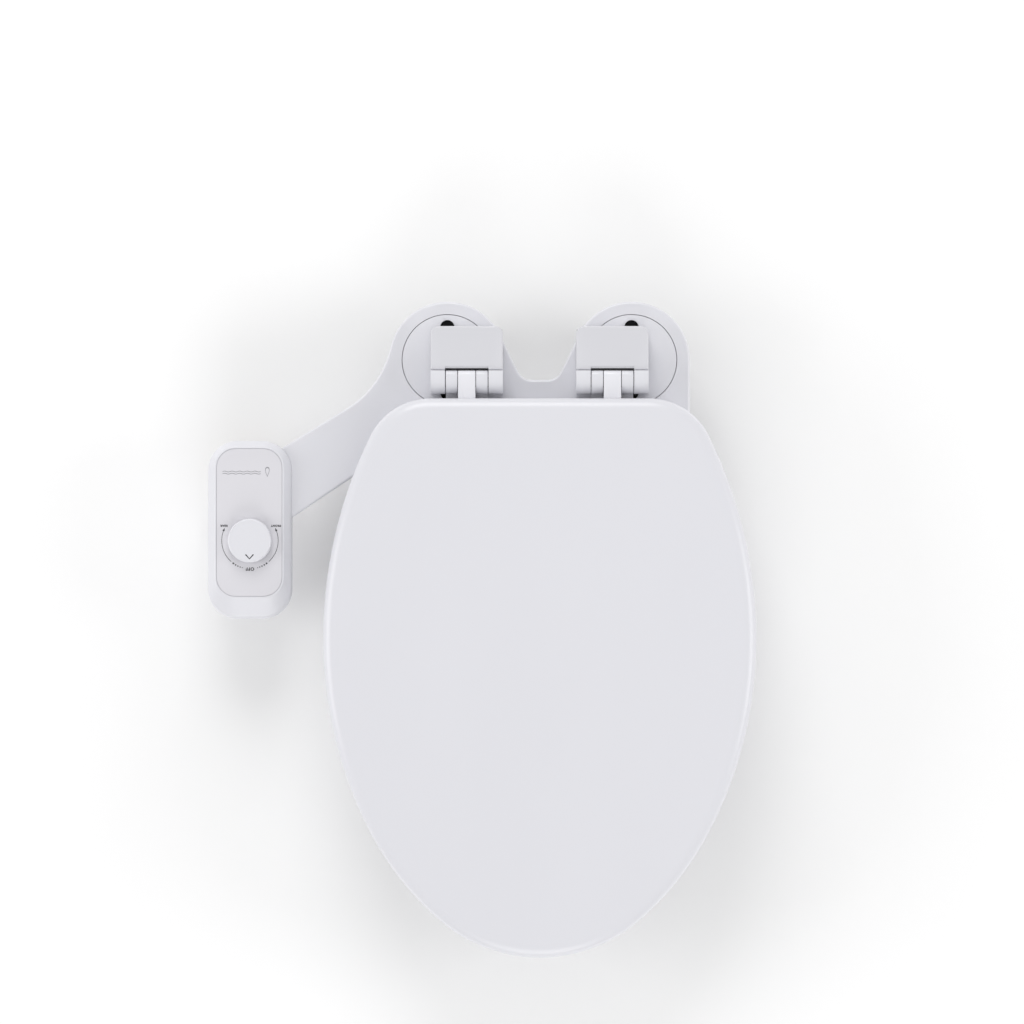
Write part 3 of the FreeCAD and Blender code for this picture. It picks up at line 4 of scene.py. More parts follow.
import bmesh
import bpy
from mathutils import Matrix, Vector


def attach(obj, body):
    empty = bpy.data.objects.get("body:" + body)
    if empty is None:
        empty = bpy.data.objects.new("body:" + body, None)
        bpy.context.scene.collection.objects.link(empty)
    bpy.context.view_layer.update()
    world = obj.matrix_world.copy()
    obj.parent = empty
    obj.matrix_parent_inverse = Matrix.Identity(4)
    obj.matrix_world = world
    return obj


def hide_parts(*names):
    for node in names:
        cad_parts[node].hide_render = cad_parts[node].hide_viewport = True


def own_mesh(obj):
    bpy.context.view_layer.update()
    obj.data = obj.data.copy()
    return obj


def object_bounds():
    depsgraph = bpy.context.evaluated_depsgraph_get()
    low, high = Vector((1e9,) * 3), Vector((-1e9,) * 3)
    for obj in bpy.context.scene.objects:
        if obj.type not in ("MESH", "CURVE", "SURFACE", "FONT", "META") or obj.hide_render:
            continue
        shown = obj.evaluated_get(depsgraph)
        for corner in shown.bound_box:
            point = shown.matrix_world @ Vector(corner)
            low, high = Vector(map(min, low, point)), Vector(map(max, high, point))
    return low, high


# A toilet seat and lid with a slim water-pressure bidet under it, in the CAD row's frame.
# Lengths are written in millimetres here, and become metres where a mesh is made.

MM = 0.001
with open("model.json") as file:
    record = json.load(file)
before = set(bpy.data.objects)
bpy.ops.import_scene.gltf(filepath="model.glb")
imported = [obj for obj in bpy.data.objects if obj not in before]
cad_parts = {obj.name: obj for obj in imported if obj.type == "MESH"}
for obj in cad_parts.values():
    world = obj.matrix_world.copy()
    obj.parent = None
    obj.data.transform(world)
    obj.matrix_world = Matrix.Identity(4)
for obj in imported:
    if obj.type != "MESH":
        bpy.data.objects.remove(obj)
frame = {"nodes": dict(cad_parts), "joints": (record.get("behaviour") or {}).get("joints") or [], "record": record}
cad_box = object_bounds()
SIDES = {"left": -1, "right": 1}


# ---- materials ----

def nodes_of(name):
    """A new material with its node tree, its shader and a texture coordinate that rides on the part."""
    material = bpy.data.materials.new(name)
    material.use_nodes = True
    tree = material.node_tree
    shader = tree.nodes["Principled BSDF"]
    place = tree.nodes.new("ShaderNodeTexCoord").outputs["Object"]
    return material, tree, shader, place


def noise(tree, place, scale, detail=3.0, stretch=None):
    """A noise texture, with its size in features per metre."""
    if stretch:
        mapping = tree.nodes.new("ShaderNodeMapping")
        mapping.inputs["Scale"].default_value = stretch
        tree.links.new(place, mapping.inputs["Vector"])
        place = mapping.outputs["Vector"]
    texture = tree.nodes.new("ShaderNodeTexNoise")
    texture.inputs["Scale"].default_value = scale
    texture.inputs["Detail"].default_value = detail
    tree.links.new(place, texture.inputs["Vector"])
    return texture.outputs["Fac"]


def ramp(tree, factor, low, high, start=0.35, end=0.65):
    """Turns a 0 to 1 pattern into a colour between low and high."""
    node = tree.nodes.new("ShaderNodeValToRGB")
    node.color_ramp.elements[0].position = start
    node.color_ramp.elements[1].position = end
    node.color_ramp.elements[0].color = (*low, 1)
    node.color_ramp.elements[1].color = (*high, 1)
    tree.links.new(factor, node.inputs["Fac"])
    return node.outputs["Color"]


def spread(tree, factor, low, high):
    """Turns a 0 to 1 pattern into a number between low and high."""
    node = tree.nodes.new("ShaderNodeMapRange")
    node.inputs["From Min"].default_value = 0.2
    node.inputs["From Max"].default_value = 0.8
    node.inputs["To Min"].default_value = low
    node.inputs["To Max"].default_value = high
    tree.links.new(factor, node.inputs["Value"])
    return node.outputs["Result"]


def bump(tree, shader, height, depth, under=None):
    """Adds surface relief of a given depth in metres, on top of another bump if there is one."""
    node = tree.nodes.new("ShaderNodeBump")
    node.inputs["Distance"].default_value = depth
    node.inputs["Strength"].default_value = 1.0
    tree.links.new(height, node.inputs["Height"])
    if under:
        tree.links.new(under, node.inputs["Normal"])
    tree.links.new(node.outputs["Normal"], shader.inputs["Normal"])
    return node.outputs["Normal"]


def edge_wear(tree, colour, worn, amount):
    """Mixes a worn colour in along convex edges."""
    starts, full = 0.52, 0.62
    pointed = spread(tree, tree.nodes.new("ShaderNodeNewGeometry").outputs["Pointiness"], 0, amount)
    pointed.node.inputs["From Min"].default_value = starts
    pointed.node.inputs["From Max"].default_value = full
    mix = tree.nodes.new("ShaderNodeMix")
    mix.data_type = "RGBA"
    tree.links.new(pointed, mix.inputs["Factor"])
    tree.links.new(colour, mix.inputs["A"])
    mix.inputs["B"].default_value = (*worn, 1)
    return mix.outputs["Result"]


def moulded_plastic(name, tone, roughness, coat=0.0, grain=0.0, soft=0.0):
    """Injection-moulded plastic: faint flow marks, orange peel, a roughness that drifts, rubbed edges."""
    material, tree, shader, place = nodes_of(name)
    flow = noise(tree, place, 9, 4, stretch=(1.0, 0.35, 1.0))
    darker = tuple(c * 0.985 for c in tone)
    lighter = tuple(min(c * 1.01, 1) for c in tone)
    colour = ramp(tree, flow, darker, lighter, 0.2, 0.8)
    worn = tuple(min(c * 1.03 + 0.01, 1) for c in tone)
    tree.links.new(edge_wear(tree, colour, worn, 0.6), shader.inputs["Base Color"])
    drift = noise(tree, place, 28, 3)
    tree.links.new(spread(tree, drift, roughness * 0.95, roughness * 1.06), shader.inputs["Roughness"])
    peel = bump(tree, shader, noise(tree, place, 420, 2), 0.000004)
    if grain:
        bump(tree, shader, noise(tree, place, 3800, 3), grain, under=peel)
    shader.inputs["IOR"].default_value = 1.49
    shader.inputs["Coat Weight"].default_value = coat
    shader.inputs["Coat Roughness"].default_value = 0.16
    shader.inputs["Subsurface Weight"].default_value = soft
    shader.inputs["Subsurface Radius"].default_value = (0.0012, 0.0011, 0.0010)
    return material


def metal(name, tone, roughness, stretch, depth):
    """Turned or drawn metal, with fine lines across the given stretch and a few dull patches."""
    material, tree, shader, place = nodes_of(name)
    lines = noise(tree, place, 600, 4, stretch=stretch)
    stained = tuple(c * 0.72 for c in tone)
    patches = ramp(tree, noise(tree, place, 130, 5), stained, tone, 0.3, 0.52)
    tree.links.new(edge_wear(tree, patches, tuple(min(c * 1.25, 1) for c in tone), 0.8),
                   shader.inputs["Base Color"])
    tree.links.new(spread(tree, lines, roughness * 0.7, roughness * 1.4), shader.inputs["Roughness"])
    bump(tree, shader, lines, depth)
    shader.inputs["Metallic"].default_value = 1.0
    return material


def rubber(name, tone, speck):
    """Soft matt rubber: a fine pebbled skin with dust caught in it."""
    material, tree, shader, place = nodes_of(name)
    dust = noise(tree, place, 260, 6)
    dusty = tuple(c + 0.015 + 0.09 * c for c in tone)
    tree.links.new(ramp(tree, dust, tone, dusty, 0.42, 0.72), shader.inputs["Base Color"])
    tree.links.new(spread(tree, dust, 0.62, 0.86), shader.inputs["Roughness"])
    bump(tree, shader, noise(tree, place, speck, 4), 0.00003)
    shader.inputs["Sheen Weight"].default_value = 0.25
    shader.inputs["Sheen Roughness"].default_value = 0.5
    return material


def printed_ink(name, tone):
    """Pad-printed ink: slightly uneven, thinner in tiny specks."""
    material, tree, shader, place = nodes_of(name)
    thin = tuple(c + 0.06 for c in tone)
    tree.links.new(ramp(tree, noise(tree, place, 2600, 4), tone, thin, 0.5, 0.8),
                   shader.inputs["Base Color"])
    tree.links.new(spread(tree, noise(tree, place, 900), 0.38, 0.55), shader.inputs["Roughness"])
    return material


def soft_tube(name, tone):
    """Milky drawn tube that lets some light through."""
    material, tree, shader, place = nodes_of(name)
    cloud = noise(tree, place, 160, 4)
    tree.links.new(ramp(tree, cloud, tuple(c * 0.93 for c in tone), tone), shader.inputs["Base Color"])
    tree.links.new(spread(tree, cloud, 0.24, 0.36), shader.inputs["Roughness"])
    bump(tree, shader, noise(tree, place, 1500, 2), 0.00001)
    shader.inputs["Subsurface Weight"].default_value = 0.3
    shader.inputs["Subsurface Radius"].default_value = (0.002, 0.002, 0.002)
    return material


def floor_surface(name):
    """A seamless matt white sweep with a very faint mottle."""
    material, tree, shader, place = nodes_of(name)
    mottle = noise(tree, place, 3, 3)
    tree.links.new(ramp(tree, mottle, (0.965, 0.965, 0.965), (0.98, 0.98, 0.98)),
                   shader.inputs["Base Color"])
    tree.links.new(spread(tree, mottle, 0.85, 0.95), shader.inputs["Roughness"])
    shader.inputs["Specular IOR Level"].default_value = 0.1
    return material


MATERIALS = {
    "white_plastic": moulded_plastic("white_plastic", (0.745, 0.745, 0.785), 0.34, coat=0.2, soft=0.04),
    "white_satin": moulded_plastic("white_satin", (0.70, 0.70, 0.73), 0.46, grain=0.00001),
    "face_plastic": moulded_plastic("face_plastic", (0.703, 0.694, 0.73), 0.36, grain=0.000006),
    "nylon": moulded_plastic("nylon", (0.70, 0.69, 0.64), 0.52, grain=0.00001, soft=0.1),
    "rubber": rubber("rubber", (0.52, 0.52, 0.53), 1900),
    # Near-black rubber for the pads under the discs: painted shade, dark where the discs' slots show only shade.
    "dark_rubber": rubber("dark_rubber", (0.012, 0.012, 0.013), 1900),
    "hose": soft_tube("hose", (0.70, 0.72, 0.74)),
    "steel": metal("steel", (0.66, 0.66, 0.67), 0.26, (1.0, 1.0, 0.12), 0.000008),
    "brass": metal("brass", (0.72, 0.56, 0.30), 0.30, (0.2, 0.2, 1.6), 0.000008),
    "ceramic": moulded_plastic("ceramic", (0.80, 0.78, 0.73), 0.16, coat=0.5),
}
# The hinge caps' plastic: the white plastic made darker, painted shade for the shade that falls on the caps.
CAP_PLASTIC_PAINTED_SHADE = moulded_plastic("cap_plastic_painted_shade", (0.66, 0.66, 0.695), 0.4, coat=0.1)
# The lid arms' plastic: the white plastic made lighter, painted light for the brighter look of the arms under the
# lamps.
ARM_PLASTIC_PAINTED_LIGHT = moulded_plastic("arm_plastic_painted_light", (0.82, 0.82, 0.86), 0.34, coat=0.2, soft=0.04)
# The hinge pins' and cap pins' steel: near black and dull, painted shade so the slits round them read as shade.
PIN_STEEL_PAINTED_SHADE = metal("pin_steel_painted_shade", (0.13, 0.13, 0.135), 0.55, (0.12, 1.0, 1.0), 0.000008)
INK = printed_ink("dial_ink", (0.02, 0.02, 0.024))
PALE_INK = printed_ink("pale_ink", (0.30, 0.30, 0.32))


# ---- mesh helpers ----

def add_object(name, data):
    """A new object in the scene, for a mesh, light, camera or text."""
    obj = bpy.data.objects.new(name, data)
    bpy.context.scene.collection.objects.link(obj)
    return obj


def mesh_from(name, vertices, faces):
    """A mesh from millimetre corners, with its faces turned outwards."""
    mesh = bpy.data.meshes.new(name)
    mesh.from_pydata([(x * MM, y * MM, z * MM) for x, y, z in vertices], [], faces)
    work = bmesh.new()
    work.from_mesh(mesh)
    bmesh.ops.recalc_face_normals(work, faces=work.faces)
    work.to_mesh(mesh)
    work.free()
    return add_object(name, mesh)


def soften(obj, width, angle=35):
    """Rounds the hard edges a little, as a mould or a tool does."""
    bevel = obj.modifiers.new("soft edges", "BEVEL")
    bevel.width = width * MM
    bevel.segments = 2
    bevel.limit_method = "ANGLE"
    bevel.angle_limit = math.radians(angle)
    bevel.miter_outer = "MITER_ARC"
    bevel.use_clamp_overlap = False
    return obj


def baked(obj):
    """Replaces the object's mesh with the result of its modifiers."""
    bpy.context.view_layer.update()
    graph = bpy.context.evaluated_depsgraph_get()
    mesh = bpy.data.meshes.new_from_object(obj.evaluated_get(graph))
    obj.modifiers.clear()
    obj.data = mesh
    return obj


def carve(obj, *cutters):
    """Cuts other objects out of this one, and removes them."""
    for cutter in cutters:
        change = obj.modifiers.new("carve", "BOOLEAN")
        change.operation = "DIFFERENCE"
        change.object = cutter
        change.solver = "EXACT"
    baked(obj)
    for cutter in cutters:
        bpy.data.objects.remove(cutter)


def smooth(obj, angle):
    """Shades smoothly, except across edges sharper than the angle."""
    obj.data.shade_smooth()
    obj.data.set_sharp_from_angle(angle=math.radians(angle))


def finish_piece(obj, body, slot, stands_for=(), material=None, angle=32):
    """Bakes the modifiers, shades, paints and mounts a piece on its CAD body."""
    if obj.modifiers:
        baked(obj)
    smooth(obj, angle)
    obj.data.materials.clear()
    obj.data.materials.append(material or MATERIALS[slot])
    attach(obj, body)
    if stands_for:
        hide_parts(*stands_for)


def joined(name, objects):
    """Puts several meshes into one piece."""
    work = bmesh.new()
    for obj in objects:
        part = obj.data.copy()
        part.transform(obj.matrix_world)
        work.from_mesh(part)
        bpy.data.meshes.remove(part)
        bpy.data.objects.remove(obj)
    mesh = bpy.data.meshes.new(name)
    work.to_mesh(mesh)
    work.free()
    return add_object(name, mesh)


def rings_to_faces(count, ring_count, closed):
    """Quads between rings that hold the same number of corners each."""
    faces = []
    for k in range(ring_count if closed else ring_count - 1):
        here, above = k * count, ((k + 1) % ring_count) * count
        for i in range(count):
            j = (i + 1) % count
            faces.append((here + i, here + j, above + j, above + i))
    return faces


def loft(name, rings, closed=False):
    """A skin through rings of corners. Open lofts get a flat cap at each end."""
    count = len(rings[0])
    faces = rings_to_faces(count, len(rings), closed)
    if not closed:
        last = (len(rings) - 1) * count
        faces.append(tuple(reversed(range(count))))
        faces.append(tuple(range(last, last + count)))
    return mesh_from(name, [corner for ring in rings for corner in ring], faces)


def circle(x, y, z, radius, count):
    """A level ring of corners, which starts on the X side."""
    angles = [2 * math.pi * i / count for i in range(count)]
    return [(x + radius * math.cos(a), y + radius * math.sin(a), z) for a in angles]


def turned(name, profile, x, y, count=72):
    """A solid turned about an upright line, from (radius, height) corners listed bottom to top."""
    return loft(name, [circle(x, y, z, max(radius, 0.01), count) for radius, z in profile])


def tube(name, profile, x, y, count=72):
    """A turned solid with a hole, from a closed loop of (radius, height) corners."""
    return loft(name, [circle(x, y, z, radius, count) for radius, z in profile], closed=True)


def box(name, x0, x1, y0, y1, z0, z1):
    """A block between two corners."""
    corners = [(x0, y0), (x1, y0), (x1, y1), (x0, y1)]
    return loft(name, [[(x, y, z) for x, y in corners] for z in (z0, z1)])


def fluted(x, y, z, radius, count, depth, period, hollow):
    """A level ring with flutes: the hollow corners of every period lie deeper by a share of the radius."""
    shares = [1 - depth * (i % period in hollow) for i in range(count)]
    return [(x + (px - x) * share, y + (py - y) * share, z)
            for (px, py, _), share in zip(circle(x, y, z, radius, count), shares)]


def bar(name, radius, x0, x1, y, z):
    """A round bar along X."""
    count = 64
    ends = [[(x, y + radius * math.cos(a), z + radius * math.sin(a))
             for a in (2 * math.pi * i / count for i in range(count))] for x in (x0, x1)]
    return loft(name, ends)


def quarter(cx, cz, radius, start, end, steps):
    """Points on an arc in a section's plane, with its angles in degrees."""
    angles = [math.radians(start + (end - start) * i / steps) for i in range(steps + 1)]
    return [(cx + radius * math.cos(a), cz + radius * math.sin(a)) for a in angles]


def softened_copy(node, width, body, slot, material=None):
    """A copy of a CAD node with its flat faces merged and its hard edges rounded."""
    weld, flat_angle, edge_angle = 0.002, 0.6, 40
    work = bmesh.new()
    work.from_mesh(frame["nodes"][node].data)
    bmesh.ops.remove_doubles(work, verts=work.verts, dist=weld * MM)
    bmesh.ops.dissolve_limit(work, angle_limit=math.radians(flat_angle), verts=work.verts, edges=work.edges)
    mesh = bpy.data.meshes.new(f"{node}_moulding")
    work.to_mesh(mesh)
    work.free()
    obj = add_object(mesh.name, mesh)
    soften(obj, width, edge_angle)
    finish_piece(obj, body, slot, stands_for=(node,), material=material)


# ---- outline of the seat and of its opening ----

STEPS = {"rear": 10, "corner": 16, "rear_side": 14, "front_side": 10, "shoulder": 14, "nose": 15}
SHOULDER_ANGLE = 28.0


def arc_run(cx, cy, radius, start, end, steps):
    """Points along an arc in plan, without its last one."""
    angles = [math.radians(start + (end - start) * i / steps) for i in range(steps)]
    return [(cx + radius * math.cos(a), cy + radius * math.sin(a)) for a in angles]


def egg(inset, rear, widest, half_width, front_length, radii):
    """A seat's outline: a straight rear edge, round corners, gently curved sides and a round nose.

    Every inset gives the same number of points, and each point moves along its own normal.
    """
    corner, rear_side, front_side, nose = (radius - inset for radius in radii)
    half_width -= inset
    front_length -= inset
    widest -= inset
    rear += inset
    widest_y = -(rear + widest)
    rear_side_x = half_width - rear_side
    flat = rear_side_x + math.sqrt((rear_side - corner) ** 2 - (widest - corner) ** 2)
    corner_angle = math.degrees(math.asin((widest - corner) / (rear_side - corner)))
    turn = math.radians(SHOULDER_ANGLE)
    across = front_side - half_width
    along = front_length - nose
    reach = front_side - nose
    span = (across ** 2 + along ** 2 - reach ** 2) / (
        2 * (across * math.cos(turn) + along * math.sin(turn) - reach)
    )
    shoulder = front_side - span
    shoulder_x = -across + span * math.cos(turn)
    shoulder_drop = span * math.sin(turn)
    toward = 1 if shoulder > nose else -1
    nose_angle = math.degrees(math.atan2(toward * (along - shoulder_drop), toward * -shoulder_x))
    right = [(flat * i / STEPS["rear"], -rear) for i in range(STEPS["rear"])]
    right += arc_run(flat, -rear - corner, corner, 90, corner_angle, STEPS["corner"])
    right += arc_run(rear_side_x, widest_y, rear_side, corner_angle, 0, STEPS["rear_side"])
    right += arc_run(-across, widest_y, front_side, 0, -SHOULDER_ANGLE, STEPS["front_side"])
    right += arc_run(shoulder_x, widest_y - shoulder_drop, shoulder, -SHOULDER_ANGLE, -nose_angle,
                     STEPS["shoulder"])
    right += arc_run(0, widest_y - along, nose, -nose_angle, -90, STEPS["nose"])
    tip = [(0, widest_y - along - nose)]
    left = [(-x, y) for x, y in reversed(right[1:])]
    return right + tip + left


def lid_line(inset):
    """The lid's outline, moved inwards by inset."""
    return egg(inset, 42.9, 201.8, 181.3, 266.0, (56, 385, 347, 127))


def opening_line(inset):
    """The outline of the ring's opening, moved inwards by inset."""
    return egg(inset, 150.0, 130.0, 106.0, 167.0, (70, 230, 250, 70))


def at_height(line, z):
    """A plan outline lifted to a height."""
    return [(x, y, z) for x, y in line]


# ---- lid ----

HINGE_CENTRE = 61.0
KNUCKLE_SPANS = [(-17.6, -7.8), (7.8, 17.6)]
LID_BUMPERS = [(-126, -120), (126, -120), (-84, -445), (84, -445)]
RING_BUMPERS = [(-138, -175), (138, -175), (-96, -425), (96, -425)]


def lid():
    """A shallow dish, upside down, with a very slightly crowned top and rounded edges."""
    bottom, top, wall = 31.5, 46.6, 3.0
    edge_width, edge_height = 10.5, 8.5
    roof = top - wall
    inner = [(50, roof + 0.3), (20, roof + 0.1)]
    inner += quarter(wall + 4, roof - 4, 4, 90, 180, 6)
    lip = [(wall, bottom + 0.6), (wall - 0.6, bottom), (0.9, bottom), (0.25, bottom + 0.3), (0, bottom + 1)]
    outer = [(edge_width * (1 + x), top - edge_height + edge_height * z)
             for x, z in quarter(0, 0, 1, 180, 90, 16)]
    crown = [(14, top + 0.08), (20, top + 0.18), (32, top + 0.32), (50, top + 0.4)]
    section = inner + lip + outer + crown
    dish = loft("lid_moulding", [at_height(lid_line(inset), z) for inset, z in section])
    door_half, pad_half, rib_width = 7.5, 12.3, 2
    doors = [box("door", side * HINGE_CENTRE - door_half, side * HINGE_CENTRE + door_half, -50, -41, 30, 35.5)
             for side in SIDES.values()]
    carve(dish, *doors)
    extras = []
    for side in SIDES.values():
        centre = side * HINGE_CENTRE
        pad = box("pad", centre - pad_half, centre + pad_half, -84, -45.5, 35.5, roof + 0.2)
        extras.append(baked(soften(pad, 0.8)))
        for x in (centre - pad_half, centre + pad_half - rib_width):
            rib = box("rib", x, x + rib_width, -112, -83.5, 37.5, roof + 0.2)
            extras.append(baked(soften(rib, 0.5)))
    for x, y in LID_BUMPERS:
        boss = [(8, 33), (8, roof - 1.2), (9.2, roof + 0.2)]
        extras.append(turned("boss", boss, x, y, 48))
    piece = joined("lid_moulding", [dish] + extras)
    finish_piece(piece, "lid", "white_plastic", stands_for=("seat_lid",), angle=28)


# ---- seat ring ----

def ring_knuckle(side, near, far):
    """A strap from the ring to a barrel on the hinge line, squared up behind like the fixed towers."""
    axis_y, axis_z, radius, bore = -29.0, 25.3, 10.0, 4.56
    strap_front, strap_bottom, strap_top = -52, 12.8, 17.5
    heel_y, heel_radius = -19.5, 4.0
    top = axis_z + radius
    heel_turn = math.degrees(math.acos((heel_y - axis_y) / radius))
    strap_turn = 180 - math.degrees(math.asin((strap_top - axis_z) / radius))
    section = [(strap_front, strap_bottom), (axis_y, strap_bottom)]
    section += quarter(axis_y, axis_z, radius, -90, heel_turn, 28)
    section += quarter(heel_y - heel_radius, top - heel_radius, heel_radius, 0, 90, 8)
    section += quarter(axis_y, axis_z, radius, 90, strap_turn, 28)
    section.append((strap_front, strap_top))
    x0, x1 = sorted((side * near, side * far))
    knuckle = loft("knuckle", [[(x, y, z) for y, z in section] for x in (x0, x1)])
    carve(knuckle, bar("bore", bore, x0 - 1, x1 + 1, axis_y, axis_z))
    return baked(soften(knuckle, 0.5, angle=50))


def seat_ring():
    """The ring: its top falls gently towards the opening, and its underside is a hollow channel."""
    bottom, top, edge, wall, roof = 12.0, 29.5, 6.0, 3.0, 25.0
    inset, root_half = 2.5, 30.3
    outer = [(0.25, bottom + 0.25), (0, bottom + 0.9)] + quarter(edge, top - edge, edge, 180, 90, 10)
    inner_edge, inner_top = 7.0, 27.6
    inner = quarter(-inner_edge, inner_top - inner_edge, inner_edge, 90, 0, 10)
    inner += [(0, bottom + 0.9), (-0.25, bottom + 0.25), (-0.9, bottom)]
    channel_in = [(-wall + 0.5, bottom), (-wall, bottom + 0.5), (-wall - 0.6, roof - 1.2), (-wall - 2, roof)]
    channel_out = [(wall + 2, roof), (wall + 0.6, roof - 1.2), (wall, bottom + 0.5), (wall - 0.5, bottom),
                   (0.9, bottom)]
    rim = lid_line(inset + edge)
    mouth = opening_line(-inner_edge)
    rings = [at_height(lid_line(inset + d), z) for d, z in outer]
    # the seat's top, level at first and then falling in a soft curve
    for share, drop in ((0.25, 0), (0.5, 0), (0.62, 0.1), (0.74, 0.42), (0.85, 0.95), (0.94, 1.5)):
        rings.append([(a + (c - a) * share, b + (d - b) * share, top - drop)
                      for (a, b), (c, d) in zip(rim, mouth)])
    rings += [at_height(opening_line(d), z) for d, z in inner]
    rings += [at_height(opening_line(d), z) for d, z in channel_in]
    rings += [at_height(lid_line(inset + d), z) for d, z in channel_out]
    body = loft("ring_moulding", rings, closed=True)
    extras = []
    for side in SIDES.values():
        for near, far in KNUCKLE_SPANS:
            extras.append(ring_knuckle(side, HINGE_CENTRE + near, HINGE_CENTRE + far))
        centre = side * HINGE_CENTRE
        root = box("root", centre - root_half, centre + root_half, -62, -46.5, 12.6, 25.4)
        extras.append(baked(soften(root, 0.8)))
    for x, y in RING_BUMPERS:
        extras.append(tube("boss", [(3.05, 12), (9, 12), (9, 24), (10, 25.4), (3.05, 25.4)], x, y, 48))
    piece = joined("ring_moulding", [body] + extras)
    finish_piece(piece, "ring", "white_plastic", stands_for=("seat_ring",), angle=28)


def feet(name, node, body, places, profile):
    """One set of soft feet, all turned from the same profile."""
    piece = joined(name, [turned("foot", profile, x, y, 64) for x, y in places])
    finish_piece(piece, body, "rubber", stands_for=(node,), angle=45)


def bumpers():
    """Grooved buttons with a dished face under the ring, and smaller ones under the lid."""
    feet("ring_feet", "ring_bumpers", "ring", RING_BUMPERS,
         [(0, 0.5), (3, 0.35), (5, 0), (6.2, 0.1), (7.2, 0.7), (7.6, 1.8), (7.75, 6), (7.3, 6.6), (7.3, 7.6),
          (7.85, 8.2), (7.95, 11.9), (3, 11.95), (3, 17.4), (0, 17.5)])
    feet("lid_feet", "lid_bumpers", "lid", LID_BUMPERS,
         [(0, 30.0), (3, 29.95), (4.6, 29.8), (5.6, 30.0), (6.2, 30.6), (6.45, 31.4), (6.5, 32.9),
          (2.5, 32.95), (2.5, 37.8), (0, 37.9)])


# ---- threads, screws and nuts ----

BOLT_X = 77.5


def threaded_rod(name, radius, depth, pitch, z0, z1, x, y, count=48):
    """A real helical thread: the radius follows the thread's flank round and up the rod."""
    levels_per_turn, crest, slope = 8, 1.35, 3.4
    levels = int((z1 - z0) / pitch * levels_per_turn) + 1
    rings = []
    for k in range(levels + 1):
        z = z0 + (z1 - z0) * k / levels
        fade = min(1.0, (z - z0) / pitch, (z1 - z) / pitch + 0.15)
        ring = []
        for i in range(count):
            turn = i / count
            phase = (z / pitch - turn) % 1.0
            flank = min(1.0, max(0.0, crest - abs(phase - 0.5) * slope))
            r = radius - depth + depth * flank * fade
            angle = 2 * math.pi * turn
            ring.append((x + r * math.cos(angle), y + r * math.sin(angle), z))
        rings.append(ring)
    return loft(name, rings)


def mounting_bolts():
    """Hex-socket bolts with a rolled thread below the deck."""
    seat, thread_radius, thread_depth, pitch = 14.0, 3.8, 0.55, 1.25
    bolts = []
    for side in SIDES.values():
        x = side * BOLT_X
        shank = turned("shank", [(3.9, -30.2), (4.0, -29.8), (4.0, 0), (4.2, 0.3), (4.2, seat),
                                 (7.2, seat), (7.5, seat + 0.3), (7.5, seat + 4.4), (7.2, seat + 5.1),
                                 (6.4, seat + 5.5), (0, seat + 5.5)], x, 0)
        socket = loft("socket", [circle(x, 0, z, 2.75, 6) for z in (seat + 2.5, seat + 6)])
        carve(shank, socket)
        tail = threaded_rod("thread", thread_radius, thread_depth, pitch, -65.4, -30, x, 0)
        tip = turned("tip", [(2.3, -66), (3.2, -65.2)], x, 0)
        bolts += [shank, tail, tip]
    piece = joined("deck_bolts", bolts)
    finish_piece(piece, "base", "steel", stands_for=("mounting_bolts",), angle=38)


def cone_washers():
    """Rubber cones that centre the bolts in the deck's holes."""
    cones = []
    for side in SIDES.values():
        profile = [(3.95, -30.1), (10.3, -30.1), (10.7, -30.4), (12.4, -32.2), (13.6, -33.6), (14, -34.2),
                   (14, -37.3), (13.5, -37.9), (4.4, -37.9), (3.95, -37.5)]
        cones.append(tube("cone", profile, side * BOLT_X, 0))
    piece = joined("deck_cones", cones)
    finish_piece(piece, "base", "rubber", stands_for=("cone_washers",), angle=40)


def wing(x, way):
    """One wing of a nut, from (reach, low, high, half thickness) stations, each a squarish oval."""
    stations = [(7.4, -49.5, -40.6, 1.5), (10.5, -49.2, -40.2, 1.2), (13.5, -48.8, -40.0, 1.25),
                (15.6, -48.0, -40.6, 1.65), (16.7, -46.4, -42.4, 1.5)]
    count, squareness = 28, 0.6
    rings = []
    for reach, low, high, half in stations:
        middle, tall = (low + high) / 2, (high - low) / 2
        ring = []
        for i in range(count):
            angle = 2 * math.pi * i / count
            rise = math.copysign(abs(math.sin(angle)) ** squareness, math.sin(angle))
            ring.append((x + way * reach, half * math.cos(angle), middle + tall * rise))
        rings.append(ring)
    return loft("wing", rings)


def wing_nuts():
    """Moulded nuts: a fluted hub and two wings that thicken towards their rounded ends."""
    hub_levels = [(8.1, -49.9), (8.5, -49.5), (8.5, -38.6), (8.0, -38.1)]
    bore, count = 3.86, 96
    nuts = []
    for side in SIDES.values():
        x = side * BOLT_X
        rings = [fluted(x, 0, z, radius, count, 0.035, 8, (3, 4, 5)) for radius, z in hub_levels]
        rings += [circle(x, 0, z, bore, count) for z in (-38.1, -49.9)]
        nuts.append(loft("hub", rings, closed=True))
        nuts += [wing(x, way) for way in (-1, 1)]
    piece = joined("deck_nuts", nuts)
    finish_piece(piece, "base", "nylon", stands_for=("wing_nuts",), angle=40)


def cross_recess(x, y, face, reach):
    """Two crossed blades that cut a driver's recess into the face of a head that looks down."""
    depth, width = 0.9, 0.32
    low, high = face - 1, face + depth
    return [box("blade", x - reach, x + reach, y - width, y + width, low, high),
            box("blade", x - width, x + width, y - reach, y + reach, low, high)]


def cross_head_screws(name, node, places, profile, face, reach, body):
    """Small screws whose heads face down, each with a cross recess."""
    screws = []
    for x, y in places:
        screw = turned("screw", profile, x, y, 40)
        carve(screw, *cross_recess(x, y, face, reach))
        screws.append(screw)
    finish_piece(joined(name, screws), body, "steel", stands_for=(node,), angle=35)


PLATE_SCREWS = [(-122, -48), (-152, -97), (-36, -45), (36, -45), (122, -48), (100, -57)]
BOX_SCREWS = [(-265.6, -92.1), (-235.6, -87.1), (-265.6, -214.1), (-221.6, -214.1)]
LID_SCREWS = [(side * HINGE_CENTRE, -y) for side in SIDES.values() for y in (56, 70)]


